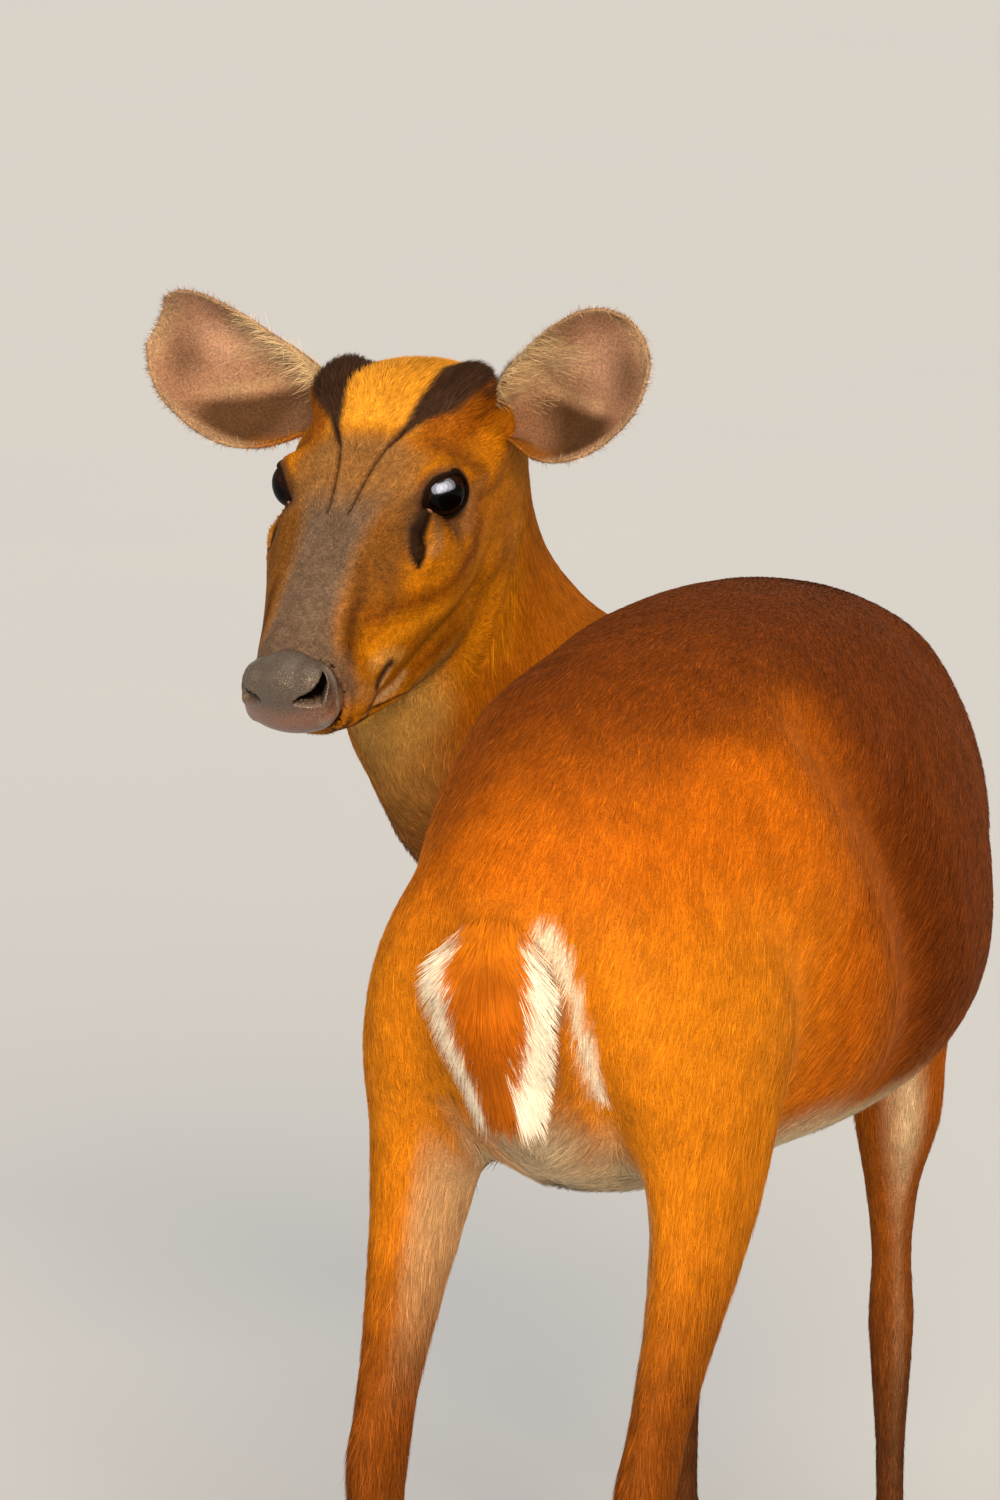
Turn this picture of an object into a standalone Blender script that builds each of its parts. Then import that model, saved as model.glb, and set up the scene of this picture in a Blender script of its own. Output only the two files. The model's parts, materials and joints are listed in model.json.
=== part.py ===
"""A life-size standing muntjac doe that looks back over its left shoulder.

Units are metres with +Z up. The animal is laid out with the root of its tail over the world origin and
its rump heading along +Y. Its right side is at +X. At the end the finished parts are moved so that the
middle of the base of their bounding box is the origin. Tables of sizes are in centimetres, as named.
"""

import math
import random

import bmesh
import bpy
import numpy as np
from mathutils import Matrix, Vector

CM = 0.01
GAP = 0.0003  # clearance between parts that touch
SLIVER = 0.00003  # edges shorter than this are merged after the cuts
TAIL_ROOT_HEIGHT = 47.5  # centimetres above the floor
BODY_VOXEL = 0.0030
HEAD_VOXEL = 0.0017
BODY_TRIANGLES = 5600
HEAD_TRIANGLES = 2700

# Trunk, by distance along the spine from the root of the tail (cm):
# distance, back height, belly height, half width, height of the widest point, squareness of the back.
TRUNK = (
    (-0.6, 46.5, 42.0, 1.6, 44.5, 2.0),
    (0.6, 49.0, 38.5, 3.6, 44.0, 2.05),
    (3.0, 51.2, 35.5, 5.8, 43.5, 2.15),
    (7.0, 53.7, 32.8, 8.1, 42.8, 2.3),
    (12.0, 55.9, 31.6, 9.5, 42.4, 2.45),
    (18.0, 57.1, 31.2, 10.4, 41.6, 2.45),
    (25.0, 57.4, 30.6, 11.1, 40.4, 2.35),
    (32.0, 57.0, 30.0, 11.7, 39.6, 2.2),
    (38.0, 56.2, 29.8, 11.6, 39.6, 2.1),
    (44.0, 55.0, 30.2, 10.4, 40.6, 2.05),
    (50.0, 53.6, 31.4, 8.6, 42.0, 2.05),
    (55.0, 51.2, 34.0, 6.6, 42.5, 2.05),
    (58.5, 47.6, 38.2, 3.6, 43.0, 2.0),
)
TRUNK_TURN = 23.0  # degrees that the spine turns to the left by the withers
TRUNK_TURN_LENGTH = 51.0

# Neck: a curve from inside the shoulders round to the back of the skull (x, y, height above the tail root)
NECK_PATH = ((-10.0, 45.5, -5.0), (-23.3, 50.4, -8.8), (-28.9, 44.0, 1.2), (-26.4, 42.3, 12.5))
# share of the curve, half depth from throat to nape, half width
NECK = ((0.0, 8.0, 6.2), (0.3, 8.6, 5.9), (0.6, 7.7, 5.3), (0.85, 6.6, 5.5), (1.0, 5.8, 5.3))

# Head frame: the origin is midway between the eyes, X to the animal's right, Y to the nose, Z to the crown
HEAD_AT = (-25.9, 35.2, 11.1)  # cm, heights above the tail root
HEAD_HEADING = -179.5
HEAD_PITCH = -29.5
HEAD_ROLL = 2.4

# Skull and upper jaw: distance forward, top, bottom, half width, height of the widest point, squareness
SKULL = (
    (-10.2, 0.2, -5.6, 3.2, -2.0, 2.0),
    (-9.0, 1.5, -6.4, 4.1, -1.8, 2.1),
    (-7.0, 2.8, -7.0, 4.7, -1.4, 2.4),
    (-4.8, 3.4, -7.3, 4.85, -1.2, 2.7),
    (-2.4, 2.7, -7.3, 4.85, -1.4, 2.6),
    (0.0, 2.0, -7.1, 4.95, -1.8, 2.5),
    (2.0, 1.35, -6.9, 4.95, -2.3, 2.4),
    (3.6, 0.8, -6.9, 4.5, -2.5, 2.3),
    (5.2, 0.25, -7.1, 3.85, -2.9, 2.35),
    (6.8, -0.3, -7.1, 3.3, -3.2, 2.45),
    (8.4, -0.9, -6.8, 2.85, -3.6, 2.45),
    (9.8, -1.5, -6.4, 2.5, -3.9, 2.3),
    (10.8, -2.3, -5.7, 2.0, -4.0, 2.1),
    (11.3, -3.0, -5.1, 1.4, -4.1, 2.0),
)
# Lower jaw in the same terms
JAW = (
    (-8.2, -3.0, -7.0, 2.6, -4.8, 2.0),
    (-6.0, -2.6, -8.6, 3.4, -5.0, 2.1),
    (-3.2, -2.4, -9.6, 3.8, -5.4, 2.2),
    (-0.5, -2.8, -9.9, 3.7, -5.9, 2.2),
    (2.0, -3.6, -9.7, 3.3, -6.4, 2.2),
    (4.5, -4.6, -9.1, 2.8, -6.8, 2.1),
    (7.0, -5.4, -8.4, 2.2, -7.0, 2.0),
    (9.2, -5.6, -7.7, 1.7, -6.8, 2.0),
    (10.4, -5.6, -7.1, 1.1, -6.4, 2.0),
)
# Right-hand swellings of the skull as place and radii: brow, temple, crown tuft, cheek, upper lip
SKULL_SWELLINGS = (
    ((3.2, -0.9, -0.1), (1.75, 2.5, 1.75)),
    ((3.9, -3.6, -0.6), (1.7, 2.6, 1.7)),
    ((3.4, -5.7, 1.9), (1.5, 2.2, 1.35)),
    ((3.0, -3.2, -4.8), (1.6, 3.2, 2.7)),
    ((1.85, 8.6, -5.1), (0.95, 2.3, 1.3)),
)
EYE_RADIUS = 1.42
EYE_AT = (3.75, -0.6, 0.12)
EYE_AXIS = (0.74, 0.65, 0.16)  # the way that the right eye looks
LID_THICKNESS = 0.17
LID_OPENING = (2.6, 1.95)  # width and height between the lids
NOSE_AT = (0.0, 10.75, -3.85)
NOSE_RADII = (2.38, 1.75, 2.2)
EAR_AT = (4.5, -5.9, 0.0)
EAR_TIP = {"right": (13.9, -7.0, 4.5), "left": (12.9, -7.0, 4.7)}
EAR_FACES = (0.0, 0.87, 0.48)
EAR_THICKNESS = 0.0022
EAR_BACK_DEPTH = 1.1
# share of the ear's length, half width to the crown, half width to the cheek, half angle of the roll (degrees)
EAR_SHAPE = (
    (0.0, 1.1, 1.3, 160.0),
    (0.12, 1.3, 2.0, 140.0),
    (0.25, 1.8, 2.9, 108.0),
    (0.4, 2.2, 3.5, 84.0),
    (0.55, 2.5, 3.7, 68.0),
    (0.7, 2.6, 3.55, 58.0),
    (0.85, 2.45, 3.0, 52.0),
    (0.95, 1.9, 2.1, 48.0),
    (1.0, 1.2, 1.3, 46.0),
)
# Grooves in the right of the face: half width, depth (cm), the way they open, and places along them
FACE_GROOVES = {
    "mouth": (0.16, 0.35, (1.0, 0.1, 0.0), ((2.0, 10.0, -6.5), (2.4, 9.0, -6.6), (2.7, 7.4, -7.0), (2.9, 5.9, -7.1))),
    "gland": (0.2, 0.4, (0.8, 0.4, 0.4), ((3.3, 1.5, -0.5), (3.55, 2.4, -1.2), (3.5, 3.4, -1.9))),
    "forehead": (0.12, 0.22, (0.1, 0.3, 1.0), ((1.75, -2.0, 2.6), (1.41, -0.9, 2.2), (1.0, 1.2, 1.7), (0.57, 3.2, 0.9))),
}
SKULL_CUT_AT = (0.0, -6.5, -5.2)  # where the head parts from the neck
SKULL_CUT_FACES = (0.0, 0.62, 0.78)

# Hind leg: outward, forward, height, half width across, half width along (cm)
HIND_LEG = (
    (2.9, 9.0, 52.0, 1.5, 4.5),
    (3.9, 9.0, 48.5, 3.1, 6.8),
    (5.0, 8.8, 44.0, 4.4, 8.1),
    (6.0, 8.5, 39.5, 4.0, 7.2),
    (6.8, 8.4, 35.5, 2.8, 5.1),
    (7.1, 8.0, 32.0, 2.15, 4.0),
    (7.1, 6.8, 29.0, 1.8, 3.2),
    (7.0, 5.4, 26.0, 1.5, 2.65),
    (6.9, 4.0, 23.0, 1.3, 2.3),
    (6.8, 2.9, 20.4, 1.3, 2.3),
    (6.8, 2.7, 18.0, 1.25, 1.7),
    (6.8, 2.9, 15.0, 1.0, 1.25),
    (6.8, 3.2, 10.0, 0.8, 1.0),
    (6.8, 3.6, 6.6, 0.9, 1.1),
    (6.8, 3.9, 5.2, 1.05, 1.3),
    (6.8, 4.5, 3.6, 0.95, 1.15),
    (6.8, 5.0, 2.3, 1.2, 1.45),
    (6.8, 5.1, 0.9, 1.2, 1.45),
)
# Fore leg in the same terms, in a frame under the withers that is turned with the spine
FORE_LEG = (
    (3.2, -1.2, 50.5, 2.0, 4.4),
    (4.4, 0.0, 46.0, 3.0, 5.6),
    (5.2, 0.6, 42.0, 3.1, 5.7),
    (5.6, 0.3, 38.0, 2.8, 5.0),
    (5.6, -0.6, 34.5, 2.3, 4.1),
    (5.5, -1.3, 31.5, 1.9, 3.2),
    (5.4, -1.0, 28.0, 1.6, 2.3),
    (5.3, -0.6, 24.0, 1.3, 1.7),
    (5.3, -0.4, 20.0, 1.1, 1.35),
    (5.3, -0.2, 17.0, 1.25, 1.45),
    (5.3, -0.3, 15.0, 1.1, 1.2),
    (5.3, -0.4, 11.0, 0.8, 0.95),
    (5.3, -0.3, 7.0, 0.8, 0.95),
    (5.3, -0.1, 5.0, 1.0, 1.2),
    (5.3, 0.5, 3.5, 0.9, 1.1),
    (5.3, 1.0, 2.3, 1.15, 1.4),
    (5.3, 1.1, 0.9, 1.15, 1.4),
)
SHOULDER_DISTANCE = 49.5
CORONET_FRONT = 2.5  # height of the top of the hoof in front and at the heel
CORONET_HEEL = 1.2
HOOF_LENGTH = 3.3
HOOF_WIDTH = 1.25

# Tail: drop below the root, x, y, half width with its hair, half width of the core, half depth (cm)
TAIL = (
    (-0.6, 0.0, 1.0, 1.9, 1.9, 1.0),
    (1.5, 0.15, -0.6, 2.9, 1.9, 0.9),
    (4.0, 0.5, -1.4, 3.2, 1.6, 0.8),
    (6.0, 0.75, -1.7, 2.9, 1.2, 0.65),
    (8.5, 1.0, -1.7, 2.3, 0.7, 0.4),
    (12.2, 1.3, -1.6, 1.3, 0.4, 0.2),
)
TAIL_CORE_ENDS = 8.0
TAIL_LOCKS = 9  # along each side
TAIL_TIP_LOCKS = 6
LOCK_SHAPE = ((0.0, 0.75, 1.0), (0.35, 1.0, 0.9), (0.7, 0.7, 0.6), (1.0, 0.12, 0.2))  # share, width, depth

COLLECTION = "muntjac"
COLOURS = {
    "coat": (0.42, 0.16, 0.045, 1.0),
    "pale": (0.75, 0.68, 0.55, 1.0),
    "nose": (0.07, 0.05, 0.055, 1.0),
    "horn": (0.03, 0.025, 0.02, 1.0),
    "eye": (0.01, 0.006, 0.004, 1.0),
}


# ---------------------------------------------------------------- scene and mesh helpers


def clear_scene():
    """Remove every object and make the collection that holds the parts."""
    for obj in list(bpy.data.objects):
        bpy.data.objects.remove(obj, do_unlink=True)
    collection = bpy.data.collections.new(COLLECTION)
    bpy.context.scene.collection.children.link(collection)
    return collection


def material(name):
    """A plain material in one of the part's colours."""
    found = bpy.data.materials.get(name)
    if found:
        return found
    made = bpy.data.materials.new(name)
    made.use_nodes = True
    shader = made.node_tree.nodes["Principled BSDF"]
    shader.inputs["Base Color"].default_value = COLOURS[name]
    shader.inputs["Roughness"].default_value = 0.25 if name in ("eye", "nose") else 0.8
    return made


def object_from(bm, name):
    """Turn a bmesh into an object in the part's collection, with its faces turned outwards."""
    bmesh.ops.recalc_face_normals(bm, faces=bm.faces)
    mesh = bpy.data.meshes.new(name)
    bm.to_mesh(mesh)
    bm.free()
    obj = bpy.data.objects.new(name, mesh)
    bpy.data.collections[COLLECTION].objects.link(obj)
    return obj


def remove(obj):
    """Delete an object that was only a step on the way."""
    bpy.data.objects.remove(obj, do_unlink=True)


def bake_modifiers(obj):
    """Replace an object's mesh by what its modifiers make of it."""
    graph = bpy.context.evaluated_depsgraph_get()
    mesh = bpy.data.meshes.new_from_object(obj.evaluated_get(graph))
    obj.modifiers.clear()
    obj.data = mesh


def voxel_remesh(obj, voxel, smoothing):
    """Fuse overlapping closed shapes into one skin, then smooth it."""
    remesh = obj.modifiers.new("fuse", "REMESH")
    remesh.mode = "VOXEL"
    remesh.voxel_size = voxel
    smooth = obj.modifiers.new("smooth", "SMOOTH")
    smooth.factor = 0.5
    smooth.iterations = smoothing
    bake_modifiers(obj)


def decimate(obj, triangles):
    """Bring a mesh down to about this many triangles."""
    obj.data.calc_loop_triangles()
    modifier = obj.modifiers.new("thin out", "DECIMATE")
    modifier.ratio = min(1.0, triangles / len(obj.data.loop_triangles))
    modifier.use_collapse_triangulate = True
    bake_modifiers(obj)


def boolean(obj, other, operation, solver="EXACT", keep_other=False):
    """Cut, join or intersect two closed meshes and keep the result on the first."""
    modifier = obj.modifiers.new("boolean", "BOOLEAN")
    modifier.object = other
    modifier.operation = operation
    modifier.solver = solver
    bake_modifiers(obj)
    if not keep_other:
        remove(other)


def inflated(obj, amount):
    """A copy of a mesh whose surface is moved outwards, used to keep a gap round a seated part."""
    copy = obj.copy()
    copy.data = obj.data.copy()
    bpy.data.collections[COLLECTION].objects.link(copy)
    displace = copy.modifiers.new("grow", "DISPLACE")
    displace.strength = amount
    displace.mid_level = 0.0
    bake_modifiers(copy)
    return copy


def loose_meshes(bm):
    """Lists of the faces of each separate surface in a bmesh."""
    waiting = set(bm.faces)
    groups = []
    while waiting:
        front = [waiting.pop()]
        group = []
        while front:
            face = front.pop()
            group.append(face)
            for edge in face.edges:
                for other in edge.link_faces:
                    if other in waiting:
                        waiting.remove(other)
                        front.append(other)
        groups.append(group)
    return groups


def keep_largest(obj):
    """Keep only the closed surface of an object that has the most area."""
    bm = bmesh.new()
    bm.from_mesh(obj.data)
    groups = loose_meshes(bm)
    if len(groups) > 1:
        groups.sort(key=lambda faces: sum(face.calc_area() for face in faces))
        scraps = [face for faces in groups[:-1] for face in faces]
        bmesh.ops.delete(bm, geom=scraps, context="FACES")
        bm.to_mesh(obj.data)
    bm.free()


def merge_slivers(obj):
    """Merge the tiny edges that cuts leave along their rims."""
    bm = bmesh.new()
    bm.from_mesh(obj.data)
    bmesh.ops.remove_doubles(bm, verts=bm.verts, dist=SLIVER)
    bmesh.ops.dissolve_degenerate(bm, dist=SLIVER, edges=bm.edges)
    bmesh.ops.triangulate(bm, faces=bm.faces)
    bm.to_mesh(obj.data)
    bm.free()


def separate(obj, places):
    """Split an object into its loose bodies, each named for the nearest of the given places."""
    bm = bmesh.new()
    bm.from_mesh(obj.data)
    groups = loose_meshes(bm)
    bodies = []
    for faces in groups:
        area = sum(face.calc_area() for face in faces)
        middle = sum((face.calc_center_median() * face.calc_area() for face in faces), Vector()) / area
        bodies.append((area, middle, faces))
    bodies.sort(key=lambda body: -body[0])
    made = {}
    for _, middle, faces in bodies[: len(places)]:
        name = min((n for n in places if n not in made), key=lambda n: (places[n] - middle).length)
        part = bmesh.new()
        copies = {}
        for face in faces:
            for vert in face.verts:
                if vert not in copies:
                    copies[vert] = part.verts.new(vert.co)
            part.faces.new([copies[vert] for vert in face.verts])
        made[name] = object_from(part, name)
    bm.free()
    remove(obj)
    return made


# ---------------------------------------------------------------- shapes


def curve_through(rows, count):
    """Rows of a table read off a smooth curve through them, at even steps of the first column."""
    table = np.array(rows, float)
    keys = table[:, 0]
    slopes = np.gradient(table, keys, axis=0)
    made = []
    for key in np.linspace(keys[0], keys[-1], count):
        i = min(max(int(np.searchsorted(keys, key)) - 1, 0), len(keys) - 2)
        span = keys[i + 1] - keys[i]
        t = (key - keys[i]) / span
        blend = (2 * t**3 - 3 * t**2 + 1, t**3 - 2 * t**2 + t, -2 * t**3 + 3 * t**2, t**3 - t**2)
        row = blend[0] * table[i] + blend[2] * table[i + 1]
        row = row + span * (blend[1] * slopes[i] + blend[3] * slopes[i + 1])
        made.append([float(value) for value in row])
    return made


def ring(place, side, up, half_width, top, bottom, widest, upper=2.0, lower=2.0, points=32):
    """An egg-shaped section. Heights are along up, from the place; upper and lower are its squareness."""
    made = []
    for i in range(points):
        angle = 2 * math.pi * i / points
        squareness = upper if math.sin(angle) > 0 else lower
        across = math.copysign(abs(math.cos(angle)) ** (2 / squareness), math.cos(angle))
        rise = abs(math.sin(angle)) ** (2 / squareness)
        height = widest + rise * ((top - widest) if math.sin(angle) > 0 else (bottom - widest))
        made.append(place + side * (across * half_width) + up * height)
    return made


def loft(bm, rings):
    """Skin a row of rings with equal numbers of points and close both ends."""
    rows = [[bm.verts.new(point) for point in points] for points in rings]
    count = len(rows[0])
    for low, high in zip(rows, rows[1:]):
        for i in range(count):
            j = (i + 1) % count
            bm.faces.new((low[i], low[j], high[j], high[i]))
    bm.faces.new(list(reversed(rows[0])))
    bm.faces.new(rows[-1])


def ball(bm, place, radii, turn=None, fineness=3):
    """An ellipsoid, with its radii along the axes of the turn."""
    scale = Matrix.Diagonal((*radii, 1.0))
    matrix = Matrix.Translation(place) @ (turn or Matrix.Identity(4)) @ scale
    bmesh.ops.create_icosphere(bm, subdivisions=fineness, radius=1.0, matrix=matrix)


def frame_of(place, forward, up):
    """A matrix whose Y runs forward and whose Z is as near up as it can be."""
    y = Vector(forward).normalized()
    x = y.cross(Vector(up)).normalized()
    z = x.cross(y)
    matrix = Matrix((x, y, z)).transposed().to_4x4()
    matrix.translation = place
    return matrix


def slab(name, matrix, low, high):
    """A block between two corners given in the axes of a matrix (metres)."""
    bm = bmesh.new()
    size = [b - a for a, b in zip(low, high)]
    middle = [(a + b) / 2 for a, b in zip(low, high)]
    box = matrix @ Matrix.Translation(middle) @ Matrix.Diagonal((*size, 1.0))
    bmesh.ops.create_cube(bm, size=1.0, matrix=box)
    return object_from(bm, name)


# ---------------------------------------------------------------- places on the animal


def spine(distance):
    """The place on the plan of the spine (metres) and the heading there (radians to the left)."""
    turn = math.radians(TRUNK_TURN)
    steps = 40
    x = y = 0.0
    for i in range(steps):
        middle = (i + 0.5) / steps * distance
        heading = turn * min(max(middle / TRUNK_TURN_LENGTH, 0.0), 1.15)
        x -= math.sin(heading) * distance / steps * CM
        y += math.cos(heading) * distance / steps * CM
    return Vector((x, y, 0.0)), turn * min(max(distance / TRUNK_TURN_LENGTH, 0.0), 1.15)


def head_matrix():
    """The frame of the head in metres."""
    x, y, z = HEAD_AT
    place = Matrix.Translation(Vector((x, y, z + TAIL_ROOT_HEIGHT)) * CM)
    turn = Matrix.Rotation(math.radians(HEAD_HEADING), 4, "Z")
    nod = Matrix.Rotation(math.radians(HEAD_PITCH), 4, "X")
    tilt = Matrix.Rotation(math.radians(HEAD_ROLL), 4, "Y")
    return place @ turn @ nod @ tilt


def in_head(point, mirror=1.0):
    """A point of the head frame (cm) in world metres. A mirror of -1 gives the left side."""
    x, y, z = point
    return head_matrix() @ (Vector((x * mirror, y, z)) * CM)


def head_direction(direction, mirror=1.0):
    """A direction of the head frame in the world."""
    x, y, z = direction
    return (head_matrix().to_3x3() @ Vector((x * mirror, y, z))).normalized()


def leg_frame(fore):
    """The frame that a pair of legs stands in: under the withers, or under the pelvis."""
    if not fore:
        return Matrix.Identity(4)
    place, heading = spine(SHOULDER_DISTANCE)
    return Matrix.Translation(place) @ Matrix.Rotation(heading, 4, "Z")


# outward and forward shift of each lower leg (cm), and the heights between which the shift fades out
STANCE = {
    ("hind", "right"): (-0.3, -0.6),
    ("hind", "left"): (0.5, -0.9),
    ("fore", "right"): (0.0, -1.0),
    ("fore", "left"): (-0.2, 1.2),
}
STANCE_FULL_BELOW = 30.0
STANCE_NONE_ABOVE = 44.0


def leg_point(pair, side, row):
    """The centre of one leg section in world metres, with the stance worked in."""
    outward, forward, height = row[:3]
    shift_out, shift_forward = STANCE[(pair, side)]
    share = (STANCE_NONE_ABOVE - height) / (STANCE_NONE_ABOVE - STANCE_FULL_BELOW)
    share = min(max(share, 0.0), 1.0)
    share = share * share * (3 - 2 * share)
    mirror = 1.0 if side == "right" else -1.0
    local = Vector((mirror * (outward + shift_out * share), forward + shift_forward * share, height)) * CM
    return leg_frame(pair == "fore") @ local


def foot_matrix(pair, side):
    """The frame of a foot: on the floor under the coronet, Y to the toe, X to the animal's right."""
    rows = HIND_LEG if pair == "hind" else FORE_LEG
    place = leg_point(pair, side, rows[-2])
    place.z = 0.0
    turn = leg_frame(pair == "fore").to_3x3().to_4x4()
    return Matrix.Translation(place) @ turn


# ---------------------------------------------------------------- flesh


def add_trunk(bm):
    """The barrel of the body, from the tail to the breast."""
    rings = []
    for distance, top, bottom, half_width, widest, squareness in curve_through(TRUNK, 40):
        place, heading = spine(distance)
        side = Vector((math.cos(heading), math.sin(heading), 0.0))
        sizes = (half_width * CM, top * CM, bottom * CM, widest * CM)
        rings.append(ring(place, side, Vector((0, 0, 1)), *sizes, squareness, 2.05, 40))
    loft(bm, rings)


def neck_frame(t):
    """Place, direction along the neck, and direction to the nape, at a share of the curve."""
    points = [Vector((x, y, z + TAIL_ROOT_HEIGHT)) * CM for x, y, z in NECK_PATH]
    u = 1 - t
    place = u**3 * points[0] + 3 * u * u * t * points[1] + 3 * u * t * t * points[2] + t**3 * points[3]
    slope = (
        3 * u * u * (points[1] - points[0])
        + 6 * u * t * (points[2] - points[1])
        + 3 * t * t * (points[3] - points[2])
    )
    along = slope.normalized()
    nape = Vector((0, 0, 1)).lerp(head_direction((0, -1.0, 0.35)), min(1.0, t * 1.15))
    nape = (nape - along * nape.dot(along)).normalized()
    return place, along, nape


def add_neck(bm):
    """The neck, round from the shoulders to inside the back of the skull."""
    rings = []
    for t, half_depth, half_width in curve_through(NECK, 22):
        place, along, nape = neck_frame(t)
        side = along.cross(nape)
        depth = half_depth * CM
        rings.append(ring(place, side, nape, half_width * CM, depth, -depth, -0.1 * depth))
    loft(bm, rings)


def add_skull(bm):
    """Skull, jaws, cheeks, brows and the low bumps under the dark tufts of the crown."""
    matrix = head_matrix()
    side = head_direction((1, 0, 0))
    up = head_direction((0, 0, 1))
    for table in (SKULL, JAW):
        rings = []
        for y, top, bottom, half_width, widest, squareness in curve_through(table, 30):
            place = matrix @ Vector((0, y * CM, 0))
            sizes = (half_width * CM, top * CM, bottom * CM, widest * CM)
            rings.append(ring(place, side, up, *sizes, squareness, squareness))
        loft(bm, rings)
    turn = matrix.to_3x3().to_4x4()
    for mirror in (1.0, -1.0):
        for place, radii in SKULL_SWELLINGS:
            ball(bm, in_head(place, mirror), [radius * CM for radius in radii], turn)


def add_lids(bm):
    """The round of the closed lids over each eyeball."""
    reach = (EYE_RADIUS + LID_THICKNESS) * CM
    for mirror in (1.0, -1.0):
        ball(bm, in_head(EYE_AT, mirror), (reach, reach, reach))


def add_leg(bm, pair, side):
    """One leg down to inside the hooves."""
    rows = HIND_LEG if pair == "hind" else FORE_LEG
    by_height = [(-row[2], *row) for row in rows]
    turn = leg_frame(pair == "fore").to_3x3()
    across = turn @ Vector((1, 0, 0))
    along = turn @ Vector((0, 1, 0))
    rings = []
    for row in curve_through(by_height, 46):
        place = leg_point(pair, side, row[1:4])
        half_along = row[5] * CM
        rings.append(ring(place, across, along, row[4] * CM, half_along, -half_along, 0.0, points=24))
    loft(bm, rings)


def legs():
    """The four legs as pair and side."""
    return [(pair, side) for pair in ("hind", "fore") for side in ("right", "left")]


# ---------------------------------------------------------------- body


def skull_cut():
    """The frame of the cut between head and neck: Y points into the head."""
    return frame_of(in_head(SKULL_CUT_AT), head_direction(SKULL_CUT_FACES), head_direction((0, -0.8, 0.6)))


def skull_block(offset):
    """A block over the head side of the cut between head and neck, moved along the cut's normal."""
    low = (-6.8 * CM, offset, -18 * CM)
    high = (6.8 * CM, 26 * CM, 9.5 * CM)
    return slab("skull_block", skull_cut(), low, high)


def body_flesh():
    """Torso, neck and legs as one skin, thinned out and cut off square at the skull and the hooves."""
    bm = bmesh.new()
    add_trunk(bm)
    add_neck(bm)
    add_skull(bm)
    for pair, side in legs():
        add_leg(bm, pair, side)
    flesh = object_from(bm, "flesh")
    voxel_remesh(flesh, BODY_VOXEL, 6)
    smooth_trunk(flesh)
    boolean(flesh, skull_block(6 * GAP + 0.003), "DIFFERENCE")
    decimate(flesh, BODY_TRIANGLES)
    boolean(flesh, skull_block(-GAP / 2), "DIFFERENCE")
    for pair, side in legs():
        boolean(flesh, hoof_block(pair, side), "DIFFERENCE")
    return flesh


def smooth_trunk(flesh):
    """Run the folds between trunk, neck, thighs and shoulders together, and leave the lower legs alone."""
    group = flesh.vertex_groups.new(name="trunk")
    for vert in flesh.data.vertices:
        height = vert.co.z / CM
        weight = min(max((height - 30.0) / 6.0, 0.0), 1.0)
        group.add([vert.index], weight, "REPLACE")
    smooth = flesh.modifiers.new("blend", "SMOOTH")
    smooth.vertex_group = "trunk"
    smooth.factor = 0.5
    smooth.iterations = 70
    bake_modifiers(flesh)
    flesh.vertex_groups.clear()


def hoof_block(pair, side):
    """The space of the hooves and below: its top lies just over the top of the claws."""
    rise = (CORONET_FRONT - CORONET_HEEL) / (HOOF_LENGTH * 0.72)
    middle = (CORONET_FRONT + CORONET_HEEL) / 2 * CM + GAP
    matrix = foot_matrix(pair, side) @ Matrix.Translation((0, 0, middle))
    matrix = matrix @ Matrix.Rotation(math.atan(rise), 4, "X")
    return slab("hoof_block", matrix, (-3.2 * CM, -4 * CM, -4 * CM), (3.2 * CM, 4 * CM, 0.0))


def thin_cut(flesh, place, faces, up, half_across, low, high):
    """Part the flesh with a slab as thick as the gap: faces is its normal."""
    matrix = frame_of(place, faces, up)
    half = GAP / 2
    cut = slab("cut", matrix, (-half_across, -half, low), (half_across, half, high))
    boolean(flesh, cut, "DIFFERENCE")


def part_body(flesh):
    """Part the body into torso, neck and the upper and lower length of each leg."""
    places = {"torso": spine(25)[0] + Vector((0, 0, 44 * CM))}
    place, along, nape = neck_frame(0.55)
    thin_cut(flesh, place, along, nape, 12 * CM, -14 * CM, 12 * CM)
    places["neck"] = neck_frame(0.75)[0]
    for pair, side in legs():
        mirror = 1.0 if side == "right" else -1.0
        base = leg_frame(pair == "fore")
        turn = base.to_3x3()
        if pair == "hind":
            middle, normal, half_along = (5.4, 9.0, 34.56), (0.6, -0.42, -0.68), 17.0
            joint, knee, top = 19.0, 17.8, (6.0, 8.0, 36.0)
        else:
            middle, normal, half_along = (5.4, -1.0, 31.6), (0.26, 0.16, -0.95), 8.0
            joint, knee, top = 16.0, 16.0, (5.4, -1.0, 25.0)
        at = base @ (Vector((middle[0] * mirror, middle[1], middle[2])) * CM)
        faces = turn @ Vector((normal[0] * mirror, normal[1], normal[2]))
        cut_across = turn @ Vector((mirror, 0, 0))
        reach = (-(middle[0] - 0.4) / 0.78 * CM, 9.5 * CM) if pair == "hind" else (-5.0 * CM, 5.5 * CM)
        thin_cut(flesh, at, faces, cut_across, half_along * CM, *reach)
        centre = leg_point(pair, side, (HIND_LEG if pair == "hind" else FORE_LEG)[9])
        centre.z = joint * CM
        thin_cut(flesh, centre, (0, 0, 1), turn @ Vector((0, 1, 0)), 3.4 * CM, -4.5 * CM, 4.5 * CM)
        name = f"{pair}_leg_{side}"
        places[name + "_upper"] = base @ (Vector((top[0] * mirror, top[1], top[2])) * CM)
        lower = leg_point(pair, side, (6.8 if pair == "hind" else 5.3, 2.5, knee / 2))
        places[name + "_lower"] = lower
    return separate(flesh, places)


# ---------------------------------------------------------------- head and its parts


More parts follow.
